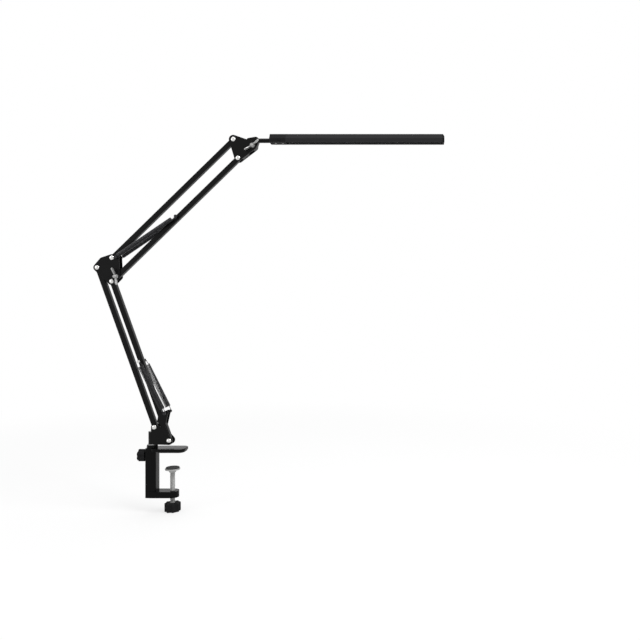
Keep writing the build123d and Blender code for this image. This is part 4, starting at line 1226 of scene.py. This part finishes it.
def hang_light(name, place, aim, size, power):
    """A soft square lamp that faces a point."""
    data = bpy.data.lights.new(name, "AREA")
    data.shape = "SQUARE"
    data.size = size
    data.energy = power
    lamp = bpy.data.objects.new(name, data)
    lamp.location = place
    lamp.rotation_euler = (Vector(aim) - Vector(place)).to_track_quat("-Z", "Y").to_euler()
    bpy.context.scene.collection.objects.link(lamp)


def set_camera(lens):
    """The camera, level and square to the arm plane."""
    data = bpy.data.cameras.new("View")
    data.lens = lens
    data.sensor_width = 36.0
    data.shift_x = -0.1406
    data.shift_y = -0.028
    data.clip_start = 0.05
    data.clip_end = 60.0
    camera = bpy.data.objects.new("View", data)
    camera.location = (0.492, -1.36, 0.309)
    camera.rotation_euler = (math.radians(90.0), 0.0, 0.0)
    bpy.context.scene.collection.objects.link(camera)
    bpy.context.scene.camera = camera


class LAMP_OT_stage(bpy.types.Operator):
    """Sets the floor, the soft light and the camera"""

    bl_idname = "lamp.stage"
    bl_label = "Stage"

    def execute(self, context):
        stage = context.scene.lamp_stage
        key = stage.key_power
        floor_gap = 0.0005
        top_share = 0.6
        middle = (0.15, 0.0, 0.35)
        context.scene.view_settings.view_transform = "Standard"
        light_room(stage.ambient)
        lay_floor(stage.floor, cad_low.z - floor_gap)
        hang_light("key", place=(1.7, -0.9, 2.1), aim=middle, size=1.3, power=key)
        hang_light("top", place=(-0.2, 0.3, 2.4), aim=middle, size=1.6, power=key * top_share)
        hang_light("fill", place=(-1.8, -1.4, 0.9), aim=middle, size=1.4, power=stage.fill_power)
        set_camera(stage.lens)
        return {"FINISHED"}


class LAMP_PT_dress(bpy.types.Panel):
    """Lists the steps that dress the lamp"""

    bl_idname = "LAMP_PT_dress"
    bl_label = "Desk lamp"
    bl_space_type = "VIEW_3D"
    bl_region_type = "UI"
    bl_category = "Desk lamp"

    def draw(self, context):
        for step in STEPS:
            self.layout.operator(step.bl_idname)
        for group in (context.scene.lamp_finishes, context.scene.lamp_sizes, context.scene.lamp_stage):
            box = self.layout.box()
            for name in group.__annotations__:
                box.prop(group, name)


STEPS = (
    LAMP_OT_finishes,
    LAMP_OT_soft_edges,
    LAMP_OT_springs,
    LAMP_OT_threads,
    LAMP_OT_rivets,
    LAMP_OT_screws,
    LAMP_OT_wing_nuts,
    LAMP_OT_stage,
)
CLASSES = (LampFinishes, LampSizes, LampStage, *STEPS, LAMP_PT_dress)


def register():
    """Adds the classes and the scene's settings."""
    for kind in CLASSES:
        bpy.utils.register_class(kind)
    bpy.types.Scene.lamp_finishes = PointerProperty(type=LampFinishes)
    bpy.types.Scene.lamp_sizes = PointerProperty(type=LampSizes)
    bpy.types.Scene.lamp_stage = PointerProperty(type=LampStage)


def unregister():
    """Takes the settings and the classes away again."""
    del bpy.types.Scene.lamp_stage
    del bpy.types.Scene.lamp_sizes
    del bpy.types.Scene.lamp_finishes
    for kind in reversed(CLASSES):
        bpy.utils.unregister_class(kind)


def main():
    """Dresses the lamp."""
    register()
    bpy.ops.lamp.finishes()
    bpy.ops.lamp.soft_edges()
    bpy.ops.lamp.springs()
    bpy.ops.lamp.threads()
    bpy.ops.lamp.rivets()
    bpy.ops.lamp.screws()
    bpy.ops.lamp.wing_nuts()
    bpy.ops.lamp.stage()


if __name__ == "__main__":
    main()
